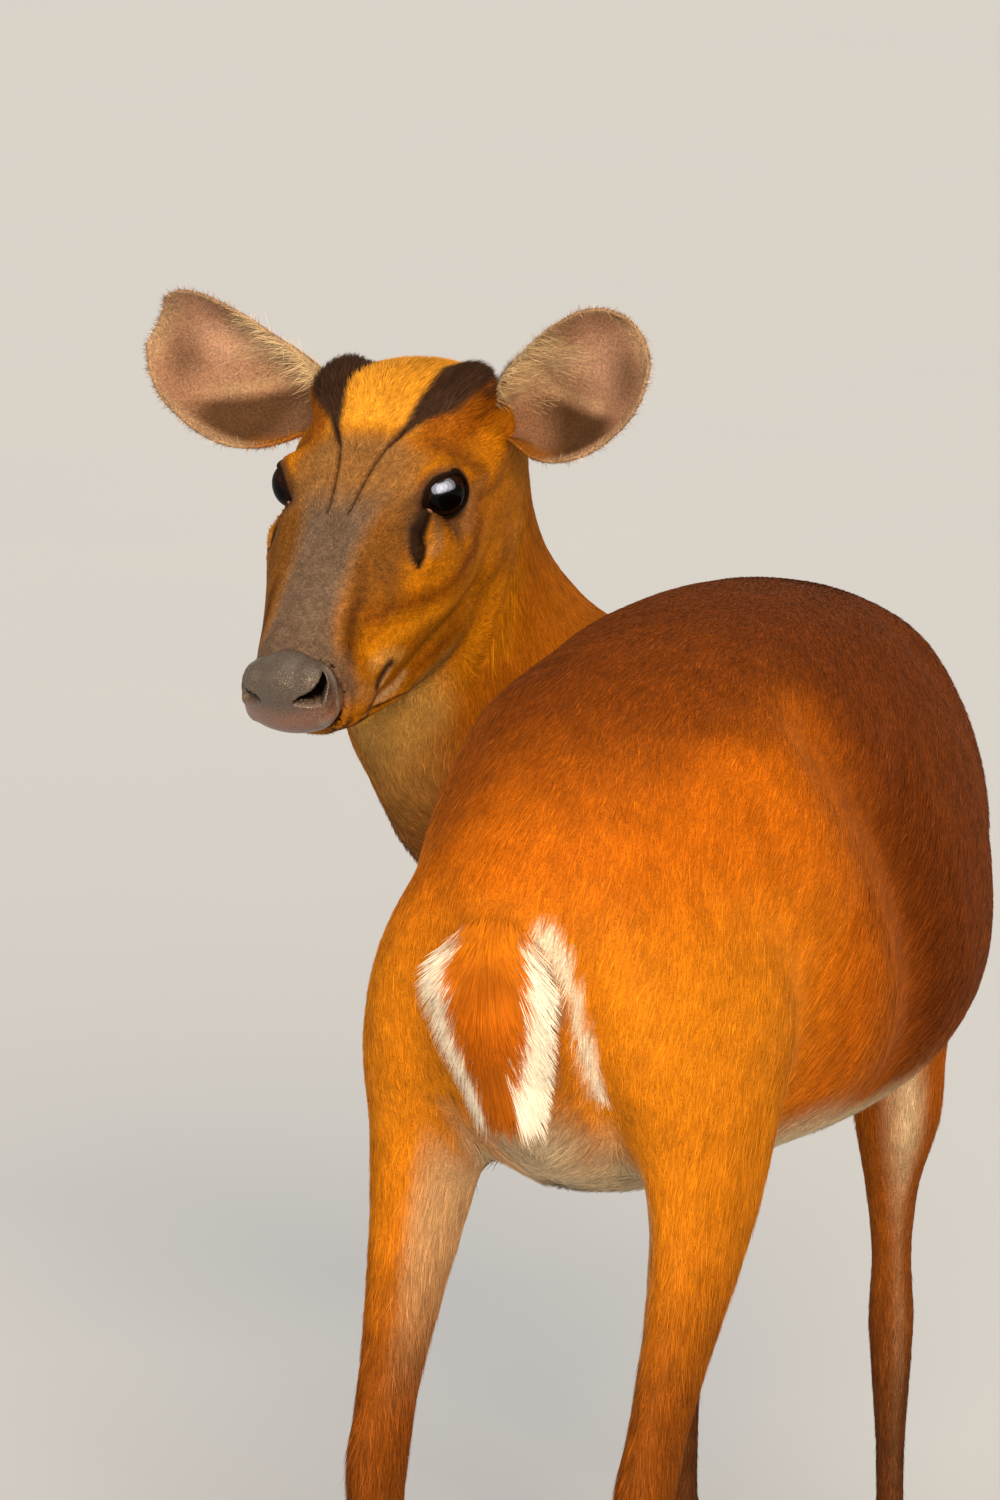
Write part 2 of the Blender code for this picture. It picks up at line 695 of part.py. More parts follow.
def head_flesh():
    """The head as one skin, thinned out and cut off square at the neck."""
    bm = bmesh.new()
    add_skull(bm)
    add_neck(bm)
    head = object_from(bm, "head")
    voxel_remesh(head, HEAD_VOXEL, 22)
    bm = bmesh.new()
    bm.from_mesh(head.data)
    add_lids(bm)
    remove(head)
    head = object_from(bm, "head")
    voxel_remesh(head, HEAD_VOXEL, 5)
    boolean(head, skull_block(-6 * GAP - 0.003), "INTERSECT")
    decimate(head, HEAD_TRIANGLES)
    boolean(head, skull_block(GAP / 2), "INTERSECT")
    return head


def eyeball(name, mirror):
    """One eyeball, its pole towards the way it looks."""
    bm = bmesh.new()
    matrix = frame_of(in_head(EYE_AT, mirror), head_direction((0, 0, 1)), head_direction(EYE_AXIS, mirror))
    bmesh.ops.create_uvsphere(bm, u_segments=16, v_segments=9, radius=EYE_RADIUS * CM, matrix=matrix)
    return object_from(bm, name)


def lid_opening(mirror):
    """The almond between the lids, as a lens that reaches from outside to the eyeball's middle."""
    width, height = LID_OPENING
    matrix = frame_of(in_head(EYE_AT, mirror), head_direction(EYE_AXIS, mirror), head_direction((0, -0.1, 1)))
    bm = bmesh.new()
    rings = []
    points = 10
    outline = []
    for i in range(points):
        share = i / points
        outline.append((-width / 2 + width * share, height / 2 * math.sin(math.pi * share) ** 0.8))
    for i in range(points):
        share = i / points
        outline.append((width / 2 - width * share, -height / 2 * math.sin(math.pi * share) ** 0.8))
    for depth in (0.35, 3.0):
        spread = 1.0 if depth < 1 else 1.35
        rings.append([matrix @ (Vector((x * spread, depth, z * spread)) * CM) for x, z in outline])
    loft(bm, rings)
    return object_from(bm, "lid_opening")


def face_grooves(head):
    """The mouth line, the scent glands before the eyes and the forehead slits, as wedges sunk in the skin."""
    bm = bmesh.new()
    for mirror in (1.0, -1.0):
        for half_width, depth, opening, places in FACE_GROOVES.values():
            outward = head_direction(opening, mirror)
            points = []
            for _, x, y, z in curve_through([(i, *place) for i, place in enumerate(places)], 3 * len(places) - 2):
                start = in_head((x, y, z), mirror) + outward * (4 * CM)
                points.append(head.ray_cast(start, -outward)[1])
            rings = []
            for i, place in enumerate(points):
                ahead = points[min(i + 1, len(points) - 1)] - points[max(i - 1, 0)]
                across = ahead.cross(outward).normalized()
                share = math.sin(math.pi * (i + 0.6) / (len(points) + 0.2)) ** 0.6
                wide = across * (half_width * CM * share)
                out = outward * (0.15 * CM)
                rings.append([place + wide + out, place - outward * (depth * CM * share), place - wide + out])
            loft(bm, rings)
    return object_from(bm, "face_grooves")


def nose_pad():
    """The broad bare pad round the nostrils, with a groove down its middle."""
    bm = bmesh.new()
    turn = head_matrix().to_3x3().to_4x4() @ Matrix.Rotation(math.radians(-14), 4, "X")
    ball(bm, in_head(NOSE_AT), [r * CM for r in NOSE_RADII], turn)
    for mirror in (1.0, -1.0):
        ball(bm, in_head((1.35, 10.9, -3.1), mirror), (1.1 * CM, 1.25 * CM, 1.35 * CM), turn)
    pad = object_from(bm, "nose_pad")
    voxel_remesh(pad, 0.0014, 5)
    decimate(pad, 420)
    for mirror in (1.0, -1.0):
        cutter = bmesh.new()
        inward = head_direction((-0.35, -1.0, 0.12), mirror)
        matrix = frame_of(in_head((1.6, 11.9, -3.3), mirror), inward, head_direction((0.75, 0, 1), mirror))
        ball(cutter, matrix.translation, (0.36 * CM, 1.5 * CM, 0.6 * CM), matrix.to_3x3().to_4x4(), 2)
        tail = in_head((2.05, 11.55, -3.7), mirror)
        flat = frame_of(tail, inward, head_direction((1, 0, -0.15), mirror)).to_3x3().to_4x4()
        ball(cutter, tail, (0.2 * CM, 0.9 * CM, 0.62 * CM), flat, 2)
        nostril = object_from(cutter, "nostril")
        voxel_remesh(nostril, 0.0009, 2)
        decimate(nostril, 120)
        boolean(pad, nostril, "DIFFERENCE")
    return pad


def ear(side, mirror):
    """One ear: a cup rolled round its long axis, open to the front."""
    base = in_head(EAR_AT, mirror)
    tip = in_head(EAR_TIP[side], mirror)
    along = (tip - base).normalized()
    length = (tip - base).length
    faces = head_direction(EAR_FACES, mirror)
    faces = (faces - along * faces.dot(along)).normalized()
    outer = along.cross(faces) * mirror
    if outer.dot(head_direction((1, 0, -1), mirror)) < 0:
        outer = -outer
    across = 11
    bm = bmesh.new()
    rows = []
    for share, inner, lateral, half_angle in curve_through(EAR_SHAPE, 13):
        angle = math.radians(half_angle)
        row = []
        for i in range(across):
            part = 2 * i / (across - 1) - 1
            half_width = lateral if part > 0 else inner
            radius = half_width / math.sin(min(angle, math.pi / 2))
            turn = angle * part
            across_here = radius * math.sin(turn)
            depth = radius * (1 - math.cos(turn)) - EAR_BACK_DEPTH * min(angle, math.pi / 2)
            place = base + along * (length * share) + outer * (across_here * CM) + faces * (depth * CM)
            row.append(bm.verts.new(place))
        rows.append(row)
    for low, high in zip(rows, rows[1:]):
        for i in range(across - 1):
            bm.faces.new((low[i], low[i + 1], high[i + 1], high[i]))
    shell = object_from(bm, "ear_" + side)
    solidify = shell.modifiers.new("wall", "SOLIDIFY")
    solidify.thickness = EAR_THICKNESS
    solidify.offset = 0.0
    bake_modifiers(shell)
    return shell


def tail_at(drop):
    """Place (metres), half width with hair, half width of the core and half depth of the tail at a drop."""
    drops = [row[0] for row in TAIL]
    x, y, full, core, depth = (float(np.interp(drop, drops, [row[i] for row in TAIL])) for i in range(1, 6))
    return Vector((x, y, TAIL_ROOT_HEIGHT - drop)) * CM, full * CM, core * CM, depth * CM


def lock(name, root, tip, half_width, half_depth, bow):
    """One flat lock of hair that tapers from its root to its tip, bowed backwards in the middle."""
    along = tip - root
    side = Vector((0, 1, 0)).cross(along).normalized()
    out = along.cross(side).normalized()
    rings = []
    for share, wide, deep in LOCK_SHAPE:
        place = root + along * share - out * (bow * math.sin(math.pi * share))
        width = side * (half_width * wide)
        depth = out * (half_depth * deep)
        rings.append([place + width, place + depth, place - width, place - depth])
    bm = bmesh.new()
    loft(bm, rings)
    return object_from(bm, name)


def tail():
    """The tail: a flat core half way to the tips, with overlapping flat locks along its sides and end."""
    chance = random.Random(4)
    bm = bmesh.new()
    rings = []
    for i in range(9):
        place, _, core, depth = tail_at(-0.6 + (TAIL_CORE_ENDS + 0.6) * i / 8)
        rings.append(ring(place, Vector((1, 0, 0)), Vector((0, 1, 0)), core, depth, -depth, 0.0, points=12))
    loft(bm, rings)
    hanging = object_from(bm, "tail")
    locks = bpy.data.collections.new("tail_locks")
    bpy.context.scene.collection.children.link(locks)
    for mirror in (-1.0, 1.0):
        for i in range(TAIL_LOCKS):
            drop = 0.2 + (TAIL_CORE_ENDS - 1.2) * i / (TAIL_LOCKS - 1)
            root, _, core, depth = tail_at(drop)
            tip, full, _, _ = tail_at(min(drop + 3.6 + chance.uniform(-0.3, 0.5), 11.6))
            root = root + Vector((mirror * core * 0.55, depth * chance.uniform(-0.5, 0.3), 0))
            tip = tip + Vector((mirror * full * chance.uniform(0.86, 1.0), chance.uniform(-0.1, 0.3) * CM, 0))
            made = lock("lock", root, tip, 0.62 * CM, 0.26 * CM, 0.25 * CM)
            locks.objects.link(made)
    for i in range(TAIL_TIP_LOCKS):
        spread = 2 * i / (TAIL_TIP_LOCKS - 1) - 1
        root, _, core, _ = tail_at(TAIL_CORE_ENDS - 2.0 + chance.uniform(-0.4, 0.4))
        tip, full, _, _ = tail_at(12.2 - 1.1 * abs(spread) + chance.uniform(-0.3, 0.2))
        root = root + Vector((spread * core * 0.6, -0.1 * CM * (i % 2), 0))
        tip = tip + Vector((spread * full * 0.8, 0.12 * CM * (i % 3 - 1), 0))
        locks.objects.link(lock("lock", root, tip, 0.6 * CM, 0.28 * CM, 0.15 * CM))
    union = hanging.modifiers.new("locks", "BOOLEAN")
    union.operation = "UNION"
    union.operand_type = "COLLECTION"
    union.collection = locks
    union.solver = "EXACT"
    bake_modifiers(hanging)
    for made in list(locks.objects):
        remove(made)
    bpy.data.collections.remove(locks)
    return hanging


# ---------------------------------------------------------------- hooves


def claw_outline(length, width, inner, points=14):
    """One claw seen from above: a D with its flat side inwards and its point forwards."""
    made = []
    for i in range(points):
        angle = 2 * math.pi * i / points
        forward = math.cos(angle)
        across = math.sin(angle)
        narrow = 1.0 - 0.45 * max(forward, 0.0) ** 1.5
        bulge = width * (0.62 if across > 0 else 0.38) * across * narrow
        made.append(Vector((inner + 0.38 * width + bulge, forward * length / 2, 0.0)))
    return made


def claw(name, pair, side, outer):
    """One of the two hooves of a foot."""
    matrix = foot_matrix(pair, side)
    mirror = 1.0 if (side == "right") == outer else -1.0
    rings = []
    for share in (0.0, 0.12, 0.5, 1.0):
        shrink = 1.0 - 0.28 * share
        outline = claw_outline(HOOF_LENGTH * shrink, HOOF_WIDTH * (1.0 - 0.1 * share), 0.06)
        back = 0.42 - 0.4 * share
        row = []
        for point in outline:
            y = point.y + back
            reach = (point.y / (HOOF_LENGTH * shrink / 2) + 1) / 2
            z = share * (CORONET_HEEL + (CORONET_FRONT - CORONET_HEEL) * reach)
            tuck = 0.94 if share == 0.0 else 1.0
            row.append(matrix @ (Vector((mirror * (0.06 + (point.x - 0.06) * tuck), y, z)) * CM))
        rings.append(row)
    bm = bmesh.new()
    loft(bm, rings)
    return object_from(bm, name)


def dewclaw(name, pair, side, outer):
    """One of the two small claws behind the fetlock."""
    rows = HIND_LEG if pair == "hind" else FORE_LEG
    matrix = foot_matrix(pair, side)
    fetlock = leg_point(pair, side, rows[-4])
    mirror = 1.0 if (side == "right") == outer else -1.0
    turn = matrix.to_3x3()
    place = fetlock + turn @ (Vector((mirror * 0.62, -1.2, -0.75)) * CM)
    down = turn @ Vector((mirror * 0.12, -0.45, -0.9))
    frame = frame_of(place, down, turn @ Vector((0, 1, 0))).to_3x3().to_4x4()
    bm = bmesh.new()
    ball(bm, place, (0.42 * CM, 0.75 * CM, 0.4 * CM), frame, 2)
    return object_from(bm, name)


# ---------------------------------------------------------------- the whole animal


def paint(obj, colour):
    """Give an object one material and shade it smooth."""
    obj.data.materials.clear()
    obj.data.materials.append(material(colour))
    obj.data.shade_smooth()
    obj.data.set_sharp_from_angle(angle=math.radians(40))


def settle(parts):
    """Move all parts so that the middle of their bounding box's base is the origin."""
    corners = np.array([tuple(vert.co) for part in parts for vert in part.data.vertices])
    low, high = corners.min(axis=0), corners.max(axis=0)
    shift = Matrix.Translation((-(low[0] + high[0]) / 2, -(low[1] + high[1]) / 2, -low[2]))
    for part in parts:
        part.data.transform(shift)


def main():
    """Build the animal."""
    clear_scene()
    parts = part_body(body_flesh())
    head = head_flesh()
    pad = nose_pad()
    boolean(head, face_grooves(head), "DIFFERENCE")
    boolean(head, inflated(pad, GAP), "DIFFERENCE")
    for label, mirror in (("right", 1.0), ("left", -1.0)):
        boolean(head, lid_opening(mirror), "DIFFERENCE")
        eye = eyeball("eye_" + label, mirror)
        boolean(head, inflated(eye, GAP), "DIFFERENCE")
        shell = ear(label, mirror)
        boolean(shell, inflated(head, GAP), "DIFFERENCE")
        keep_largest(shell)
        parts[eye.name] = eye
        parts[shell.name] = shell
    keep_largest(head)
    parts["head"] = head
    parts["nose_pad"] = pad
    hanging = tail()
    boolean(hanging, inflated(parts["torso"], GAP), "DIFFERENCE")
    keep_largest(hanging)
    parts["tail"] = hanging
    for pair, side in legs():
        for outer in (True, False):
            label = f"{pair}_{side}_{'outer' if outer else 'inner'}"
            parts["hoof_" + label] = claw("hoof_" + label, pair, side, outer)
            small = dewclaw("dewclaw_" + label, pair, side, outer)
            boolean(small, inflated(parts[f"{pair}_leg_{side}_lower"], GAP), "DIFFERENCE")
            keep_largest(small)
            parts[small.name] = small
    for name, part in parts.items():
        merge_slivers(part)
        part.name = name
        colour = "coat"
        if name.startswith("eye"):
            colour = "eye"
        elif name.startswith(("hoof", "dewclaw")):
            colour = "horn"
        elif name == "nose_pad":
            colour = "nose"
        paint(part, colour)
    settle(list(parts.values()))


main()
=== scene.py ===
"""A life-size muntjac doe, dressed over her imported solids: hide, hair, eyes, nose, ears, tail and feet.

Places come from the solids and from two frames. The plan frame is in centimetres, with the root of the
tail over its origin, the rump heading along +Y, the right side at +X and heights above the floor. The
head frame is in centimetres too, midway between the eyes, X to the animal's right, Y to the nose, Z to
the crown. Markings and hair are worked out from those places by functions, alike for hide and hair.
"""

import json
import logging
import math
from contextlib import contextmanager
from dataclasses import dataclass, field
from enum import Enum
from typing import Iterator, Sequence

import bpy
import numpy as np
from bpy.types import Material, Node, NodeSocket, NodeTree, Object, bpy_prop_collection
from mathutils import Matrix, Vector
from mathutils.bvhtree import BVHTree

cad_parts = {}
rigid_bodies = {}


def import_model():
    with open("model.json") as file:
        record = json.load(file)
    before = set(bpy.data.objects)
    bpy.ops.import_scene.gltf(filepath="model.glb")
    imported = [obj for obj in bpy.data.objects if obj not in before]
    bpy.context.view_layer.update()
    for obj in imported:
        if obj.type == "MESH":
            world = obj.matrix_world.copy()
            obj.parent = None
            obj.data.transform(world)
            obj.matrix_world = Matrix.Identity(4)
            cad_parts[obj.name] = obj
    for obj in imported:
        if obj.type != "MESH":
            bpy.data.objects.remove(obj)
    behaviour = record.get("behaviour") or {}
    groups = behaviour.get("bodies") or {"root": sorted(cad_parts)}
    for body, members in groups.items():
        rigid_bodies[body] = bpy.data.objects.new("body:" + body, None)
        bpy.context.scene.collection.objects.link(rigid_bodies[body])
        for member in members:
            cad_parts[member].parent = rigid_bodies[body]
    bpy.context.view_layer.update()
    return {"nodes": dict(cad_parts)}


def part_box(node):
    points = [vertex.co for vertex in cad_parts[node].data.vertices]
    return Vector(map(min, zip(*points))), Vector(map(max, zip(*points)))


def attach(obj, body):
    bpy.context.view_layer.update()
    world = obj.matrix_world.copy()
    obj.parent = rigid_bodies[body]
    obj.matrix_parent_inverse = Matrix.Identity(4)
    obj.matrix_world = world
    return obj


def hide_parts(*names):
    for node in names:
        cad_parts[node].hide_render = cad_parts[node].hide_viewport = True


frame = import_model()

CM = 0.01
COLOUR = "hair_colour"
LIE = "hair_lie"
UNWRAP = "OFBake"
NOISE_CELLS = 2.2  # cells of noise that read as one lock or one patch
CLOSE_GAP = 0.0004  # metres by which the solids are grown so that the gaps between them close
CLUMP_SEED = 5
CLUMP_PRIMES = (73856093, 19349663, 83492791)
TAIL_TOP = 47.5  # height of the root of the tail in the plan frame
Array = np.ndarray
Rows = tuple[tuple[float, ...], ...]
Place = tuple[float, float, float]
log = logging.getLogger("muntjac")


class Side(Enum):
    """The two sides of the animal."""

    RIGHT = 1.0
    LEFT = -1.0

    @property
    def label(self) -> str:
        """The side's name as the solids use it."""
        return self.name.lower()


# ---- numbers


def linear(code: str) -> tuple[float, float, float, float]:
    """Turn an sRGB hex colour into linear light.

    Args:
        code: Six hex digits.

    Returns:
        Red, green, blue and an alpha of one.
    """
    parts = [int(code[i : i + 2], 16) / 255 for i in (0, 2, 4)]
    red, green, blue = (p / 12.92 if p <= 0.04045 else ((p + 0.055) / 1.055) ** 2.4 for p in parts)
    return red, green, blue, 1.0


def tint(code: str) -> Array:
    """An sRGB hex colour as a linear row of three."""
    return np.array(linear(code)[:3])


def ramp(values: Array, low: float, high: float) -> Array:
    """Rise smoothly from 0 at low to 1 at high, or fall where low is the greater."""
    share = np.clip((values - low) / (high - low), 0.0, 1.0)
    return share * share * (3 - 2 * share)


def unit(vectors: Array) -> Array:
    """Scale each row to a length of one."""
    return vectors / np.maximum(np.linalg.norm(vectors, axis=-1, keepdims=True), 1e-9)


def bell(values: Array, width: float) -> Array:
    """A round bump: 1 where the values are 0, sinking to a third at the width."""
    return np.exp(-((values / width) ** 2))


def flat_on(ways: Array, normals: Array) -> Array:
    """Lay directions along the surfaces that have these normals, with a length of one."""
    return unit(ways - normals * np.sum(ways * normals, axis=1, keepdims=True))


def smooth_rows(table: Rows, keys: Array) -> Array:
    """Read a table off a smooth curve through its rows.

    Args:
        table: Rows, rising in their first column.
        keys: Where to read it, in terms of the first column.

    Returns:
        One row for each key.
    """
    rows = np.array(table, float)
    at = rows[:, 0]
    slopes = np.gradient(rows, at, axis=0)
    i = np.clip(np.searchsorted(at, keys) - 1, 0, len(at) - 2)
    span = (at[i + 1] - at[i])[:, None]
    t = (np.asarray(keys)[:, None] - at[i][:, None]) / span
    near = (2 * t**3 - 3 * t**2 + 1) * rows[i] + (t**3 - 2 * t**2 + t) * span * slopes[i]
    return near + (-2 * t**3 + 3 * t**2) * rows[i + 1] + (t**3 - t**2) * span * slopes[i + 1]


def along_path(points: Array, path: Sequence[Sequence[float]]) -> tuple[Array, Array]:
    """How far points are from a row of straight stretches.

    Args:
        points: The points, one a row.
        path: The corners of the path.

    Returns:
        The distance of each point, and its place along the path counted in corners.
    """
    corners = np.array(path, float)
    best = np.full(len(points), 1e9)
    place = np.zeros(len(points))
    for i, (a, b) in enumerate(zip(corners, corners[1:])):
        step = b - a
        t = np.clip((points - a) @ step / (step @ step), 0.0, 1.0)
        distance = np.linalg.norm(points - a - t[:, None] * step, axis=1)
        nearer = distance < best
        best[nearer] = distance[nearer]
        place[nearer] = i + t[nearer]
    return best, place


def both_sides(local: Array) -> Array:
    """Fold the left side of a frame onto its right side."""
    return np.column_stack([np.abs(local[:, 0]), local[:, 1:]])


def relax(values: Array, edges: Array, rounds: int, share: float = 0.5) -> Array:
    """Blend each vertex's values with its neighbours'.

    Args:
        values: One row for each vertex.
        edges: Pairs of vertex numbers.
        rounds: How often to blend.
        share: How far each round goes towards the neighbours' mean. Below 0 it sharpens.

    Returns:
        The blended values.
    """
    count = len(values)
    a, b = edges.T
    degree = np.maximum(np.bincount(edges.ravel(), minlength=count), 1)
    made = values.astype(float).reshape(count, -1)
    for _ in range(rounds):
        for k in range(made.shape[1]):
            column = made[:, k]
            total = np.bincount(a, column[b], count) + np.bincount(b, column[a], count)
            made[:, k] = column + share * (total / degree - column)
    return made.reshape(values.shape)


def clumps(points: Array, size: float) -> Array:
    """Smooth random values from -1 to 1.

    Args:
        points: Places, one a row.
        size: The distance over which the values change.

    Returns:
        One value for each place.
    """
    table = np.random.default_rng(CLUMP_SEED).uniform(-1, 1, 4096)
    low = np.floor(points / size).astype(int)
    part = points / size - low
    part = part * part * (3 - 2 * part)
    made = np.zeros(len(points))
    for corner in np.ndindex(2, 2, 2):
        share = np.prod(np.where(np.array(corner) == 1, part, 1 - part), axis=1)
        made += share * table[((low + corner) @ CLUMP_PRIMES) % len(table)]
    return made


# ---- frames of the animal


@dataclass(frozen=True)
class HeadFrame:
    """The frame of the head, found from the two eyeballs.

    Attributes:
        heading, pitch, roll: The head's turns in degrees.
        eye_forward, eye_height: Where the middle of the eyes lies in the head frame, in cm.
        on_plan: The head frame's origin in the plan frame, in cm.
    """

    heading: float = -179.5
    pitch: float = -29.5
    roll: float = 2.4
    eye_forward: float = -0.6
    eye_height: float = 0.12
    on_plan: tuple[float, float, float] = (-25.9, 35.2, 58.6)

    @property
    def turn(self) -> Matrix:
        """The head's axes as a 3 by 3 matrix."""
        turn = Matrix.Rotation(math.radians(self.heading), 3, "Z")
        turn = turn @ Matrix.Rotation(math.radians(self.pitch), 3, "X")
        return turn @ Matrix.Rotation(math.radians(self.roll), 3, "Y")

    @property
    def origin(self) -> Vector:
        """The origin in metres, in the frame of the solids."""
        corners = [*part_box("eye_left"), *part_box("eye_right")]
        middle = sum(corners, Vector()) / 4
        return middle - self.turn @ Vector((0.0, self.eye_forward, self.eye_height)) * CM

    @property
    def plan_origin(self) -> Array:
        """The plan frame's origin in centimetres, in the frame of the solids."""
        return np.array(self.origin) / CM - np.array(self.on_plan)

    def local(self, points: Array) -> Array:
        """World metres to head centimetres."""
        return (points - np.array(self.origin)) @ np.array(self.turn) / CM

    def world(self, points: Array) -> Array:
        """Head centimetres to world metres."""
        return np.asarray(points, float) @ np.array(self.turn).T * CM + np.array(self.origin)

    def ways(self, directions: Array) -> Array:
        """Head directions to world directions."""
        return np.asarray(directions, float) @ np.array(self.turn).T

    def plan(self, points: Array) -> Array:
        """World metres to plan centimetres."""
        return points / CM - self.plan_origin

    def from_plan(self, points: Array) -> Array:
        """Plan centimetres to world metres."""
        return (np.asarray(points, float) + self.plan_origin) * CM


HEAD = HeadFrame()


# ---- Blender helpers


def select_only(*objects: Object) -> None:
    """Deselect everything, then select these and make the first one active."""
    if bpy.context.object and bpy.context.object.mode != "OBJECT":
        bpy.ops.object.mode_set(mode="OBJECT")
    bpy.ops.object.select_all(action="DESELECT")
    for obj in objects:
        obj.select_set(True)
    bpy.context.view_layer.objects.active = objects[0]


@contextmanager
def editing(obj: Object, faces: Array | None = None) -> Iterator[None]:
    """Edit mode on one object.

    Args:
        obj: The object to edit.
        faces: Which faces are selected, or None for all.
    """
    select_only(obj)
    bpy.ops.object.mode_set(mode="EDIT")
    bpy.ops.mesh.select_mode(type="FACE")
    bpy.ops.mesh.select_all(action="SELECT" if faces is None else "DESELECT")
    if faces is not None:
        bpy.ops.object.mode_set(mode="OBJECT")
        obj.data.polygons.foreach_set("select", faces)
        bpy.ops.object.mode_set(mode="EDIT")
    yield
    bpy.ops.object.mode_set(mode="OBJECT")


def modified(obj: Object, kind: str, **settings: object) -> None:
    """Add a modifier to an object and apply it.

    Args:
        obj: The object.
        kind: The modifier's type.
        settings: What to set on it.
    """
    select_only(obj)
    modifier = obj.modifiers.new(kind.lower(), kind)
    for name, value in settings.items():
        setattr(modifier, name, value)
    bpy.ops.object.modifier_apply(modifier=modifier.name)


def copy_of(names: Sequence[str], label: str) -> Object:
    """Copy CAD nodes into one object and merge their loose triangles.

    Args:
        names: The nodes.
        label: The new object's name.

    Returns:
        The joined copy.
    """
    copies = []
    for name in names:
        copy = bpy.data.objects.new(label, frame["nodes"][name].data.copy())
        copy.data.materials.clear()
        bpy.context.scene.collection.objects.link(copy)
        copies.append(copy)
    select_only(*copies)
    if len(copies) > 1:
        bpy.ops.object.join()
    with editing(copies[0]):
        bpy.ops.mesh.remove_doubles(threshold=0.00001)
    return copies[0]


def joined(*objects: Object) -> Object:
    """Join objects into the first."""
    select_only(*objects)
    bpy.ops.object.join()
    return objects[0]


def ball(label: str, centre: Vector, radius: float, fineness: int = 24) -> Object:
    """A sphere whose place is in its mesh."""
    bpy.ops.mesh.primitive_uv_sphere_add(segments=2 * fineness, ring_count=fineness, radius=radius)
    made = bpy.context.object
    made.name = label
    made.data.transform(Matrix.Translation(centre))
    return made


def rows_of(items: bpy_prop_collection, name: str, width: int = 3, kind: type = float) -> Array:
    """Read one property off each item of a mesh's list.

    Args:
        items: The list, such as the vertices.
        name: The property's name.
        width: How many numbers it has.
        kind: The type of the numbers.

    Returns:
        One row for each item.
    """
    flat = np.empty(len(items) * width, kind)
    items.foreach_get(name, flat)
    return flat.reshape(-1, width)


def points_of(obj: Object) -> Array:
    """The vertices of a mesh, one a row."""
    return rows_of(obj.data.vertices, "co")


def move_points(obj: Object, points: Array) -> None:
    """Give a mesh new places for its vertices."""
    obj.data.vertices.foreach_set("co", np.ascontiguousarray(points, float).ravel())
    obj.data.update()


def normals_of(obj: Object) -> Array:
    """The vertex normals of a mesh, one a row."""
    return rows_of(obj.data.vertex_normals, "vector")


def edges_of(obj: Object) -> Array:
    """The edges of a mesh as pairs of vertex numbers."""
    return rows_of(obj.data.edges, "vertices", 2, int)


def face_centres(obj: Object) -> Array:
    """The middles of a mesh's faces, one a row."""
    return rows_of(obj.data.polygons, "center")


def surface_of(obj: Object) -> BVHTree:
    """The surface of an object, to find the nearest places on."""
    return BVHTree.FromObject(obj, bpy.context.evaluated_depsgraph_get())


def face_outward(obj: Object) -> None:
    """Turn the faces of a closed mesh outward."""
    with editing(obj):
        bpy.ops.mesh.normals_make_consistent(inside=False)


def unwrap(obj: Object) -> None:
    """Unwrap a whole mesh onto the map named by UNWRAP."""
    with editing(obj):
        bpy.ops.uv.smart_project(angle_limit=math.radians(66), island_margin=0.004)
    obj.data.uv_layers[0].name = UNWRAP


def settle(obj: Object, rounds: int) -> None:
    """Take the steps out of a remeshed surface without shrinking it."""
    points = points_of(obj)
    edges = edges_of(obj)
    for _ in range(rounds):
        points = relax(relax(points, edges, 1, 0.5), edges, 1, -0.52)
    move_points(obj, points)


def store(obj: Object, name: str, values: Array) -> None:
    """Keep a colour or a vector for each vertex under a name that materials can read."""
    colour = name == COLOUR
    attribute = obj.data.attributes.new(name, "FLOAT_COLOR" if colour else "FLOAT_VECTOR", "POINT")
    if colour:
        values = np.hstack([values, np.ones((len(values), 1))])
    attribute.data.foreach_set("color" if colour else "vector", np.ascontiguousarray(values).ravel())


def finish_piece(obj: Object, material: Material, slot: str, *replaced: str) -> None:
    """Dress a piece and let it ride on the body.

    Args:
        obj: The piece.
        material: Its material.
        slot: A slot of the record; not used.
        replaced: The CAD nodes that it stands for.
    """
    obj.data.materials.clear()
    obj.data.materials.append(material)
    obj.data.shade_smooth()
    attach(obj, "root")
    if replaced:
        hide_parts(*replaced)
    log.info("%s: %d faces", obj.name, len(obj.data.polygons))


def set_inputs(tree: NodeTree, node: Node, inputs: dict[str | int, object]) -> None:
    """Give each named or numbered input of a node its value, or link it to its source socket."""
    for name, value in inputs.items():
        if isinstance(value, NodeSocket):
            tree.links.new(value, node.inputs[name])
        else:
            node.inputs[name].default_value = value


def add_node(
    tree: NodeTree, kind: str, settings: dict[str, object] | None = None,
    inputs: dict[str | int, object] | None = None,
) -> Node:
    """Add a node with its settings and its links.

    Args:
        tree: The node tree.
        kind: The node's type.
        settings: What to set on the node itself.
        inputs: A value or a source socket for each named or numbered input.

    Returns:
        The node.
    """
    node = tree.nodes.new(kind)
    for name, value in (settings or {}).items():
        setattr(node, name, value)
    set_inputs(tree, node, inputs or {})
    return node


def new_material(name: str) -> tuple[Material, NodeTree, Node]:
    """A material with its node tree and its Principled shader."""
    material = bpy.data.materials.new(name)
    material.use_nodes = True
    return material, material.node_tree, material.node_tree.nodes["Principled BSDF"]


# ---- finishes


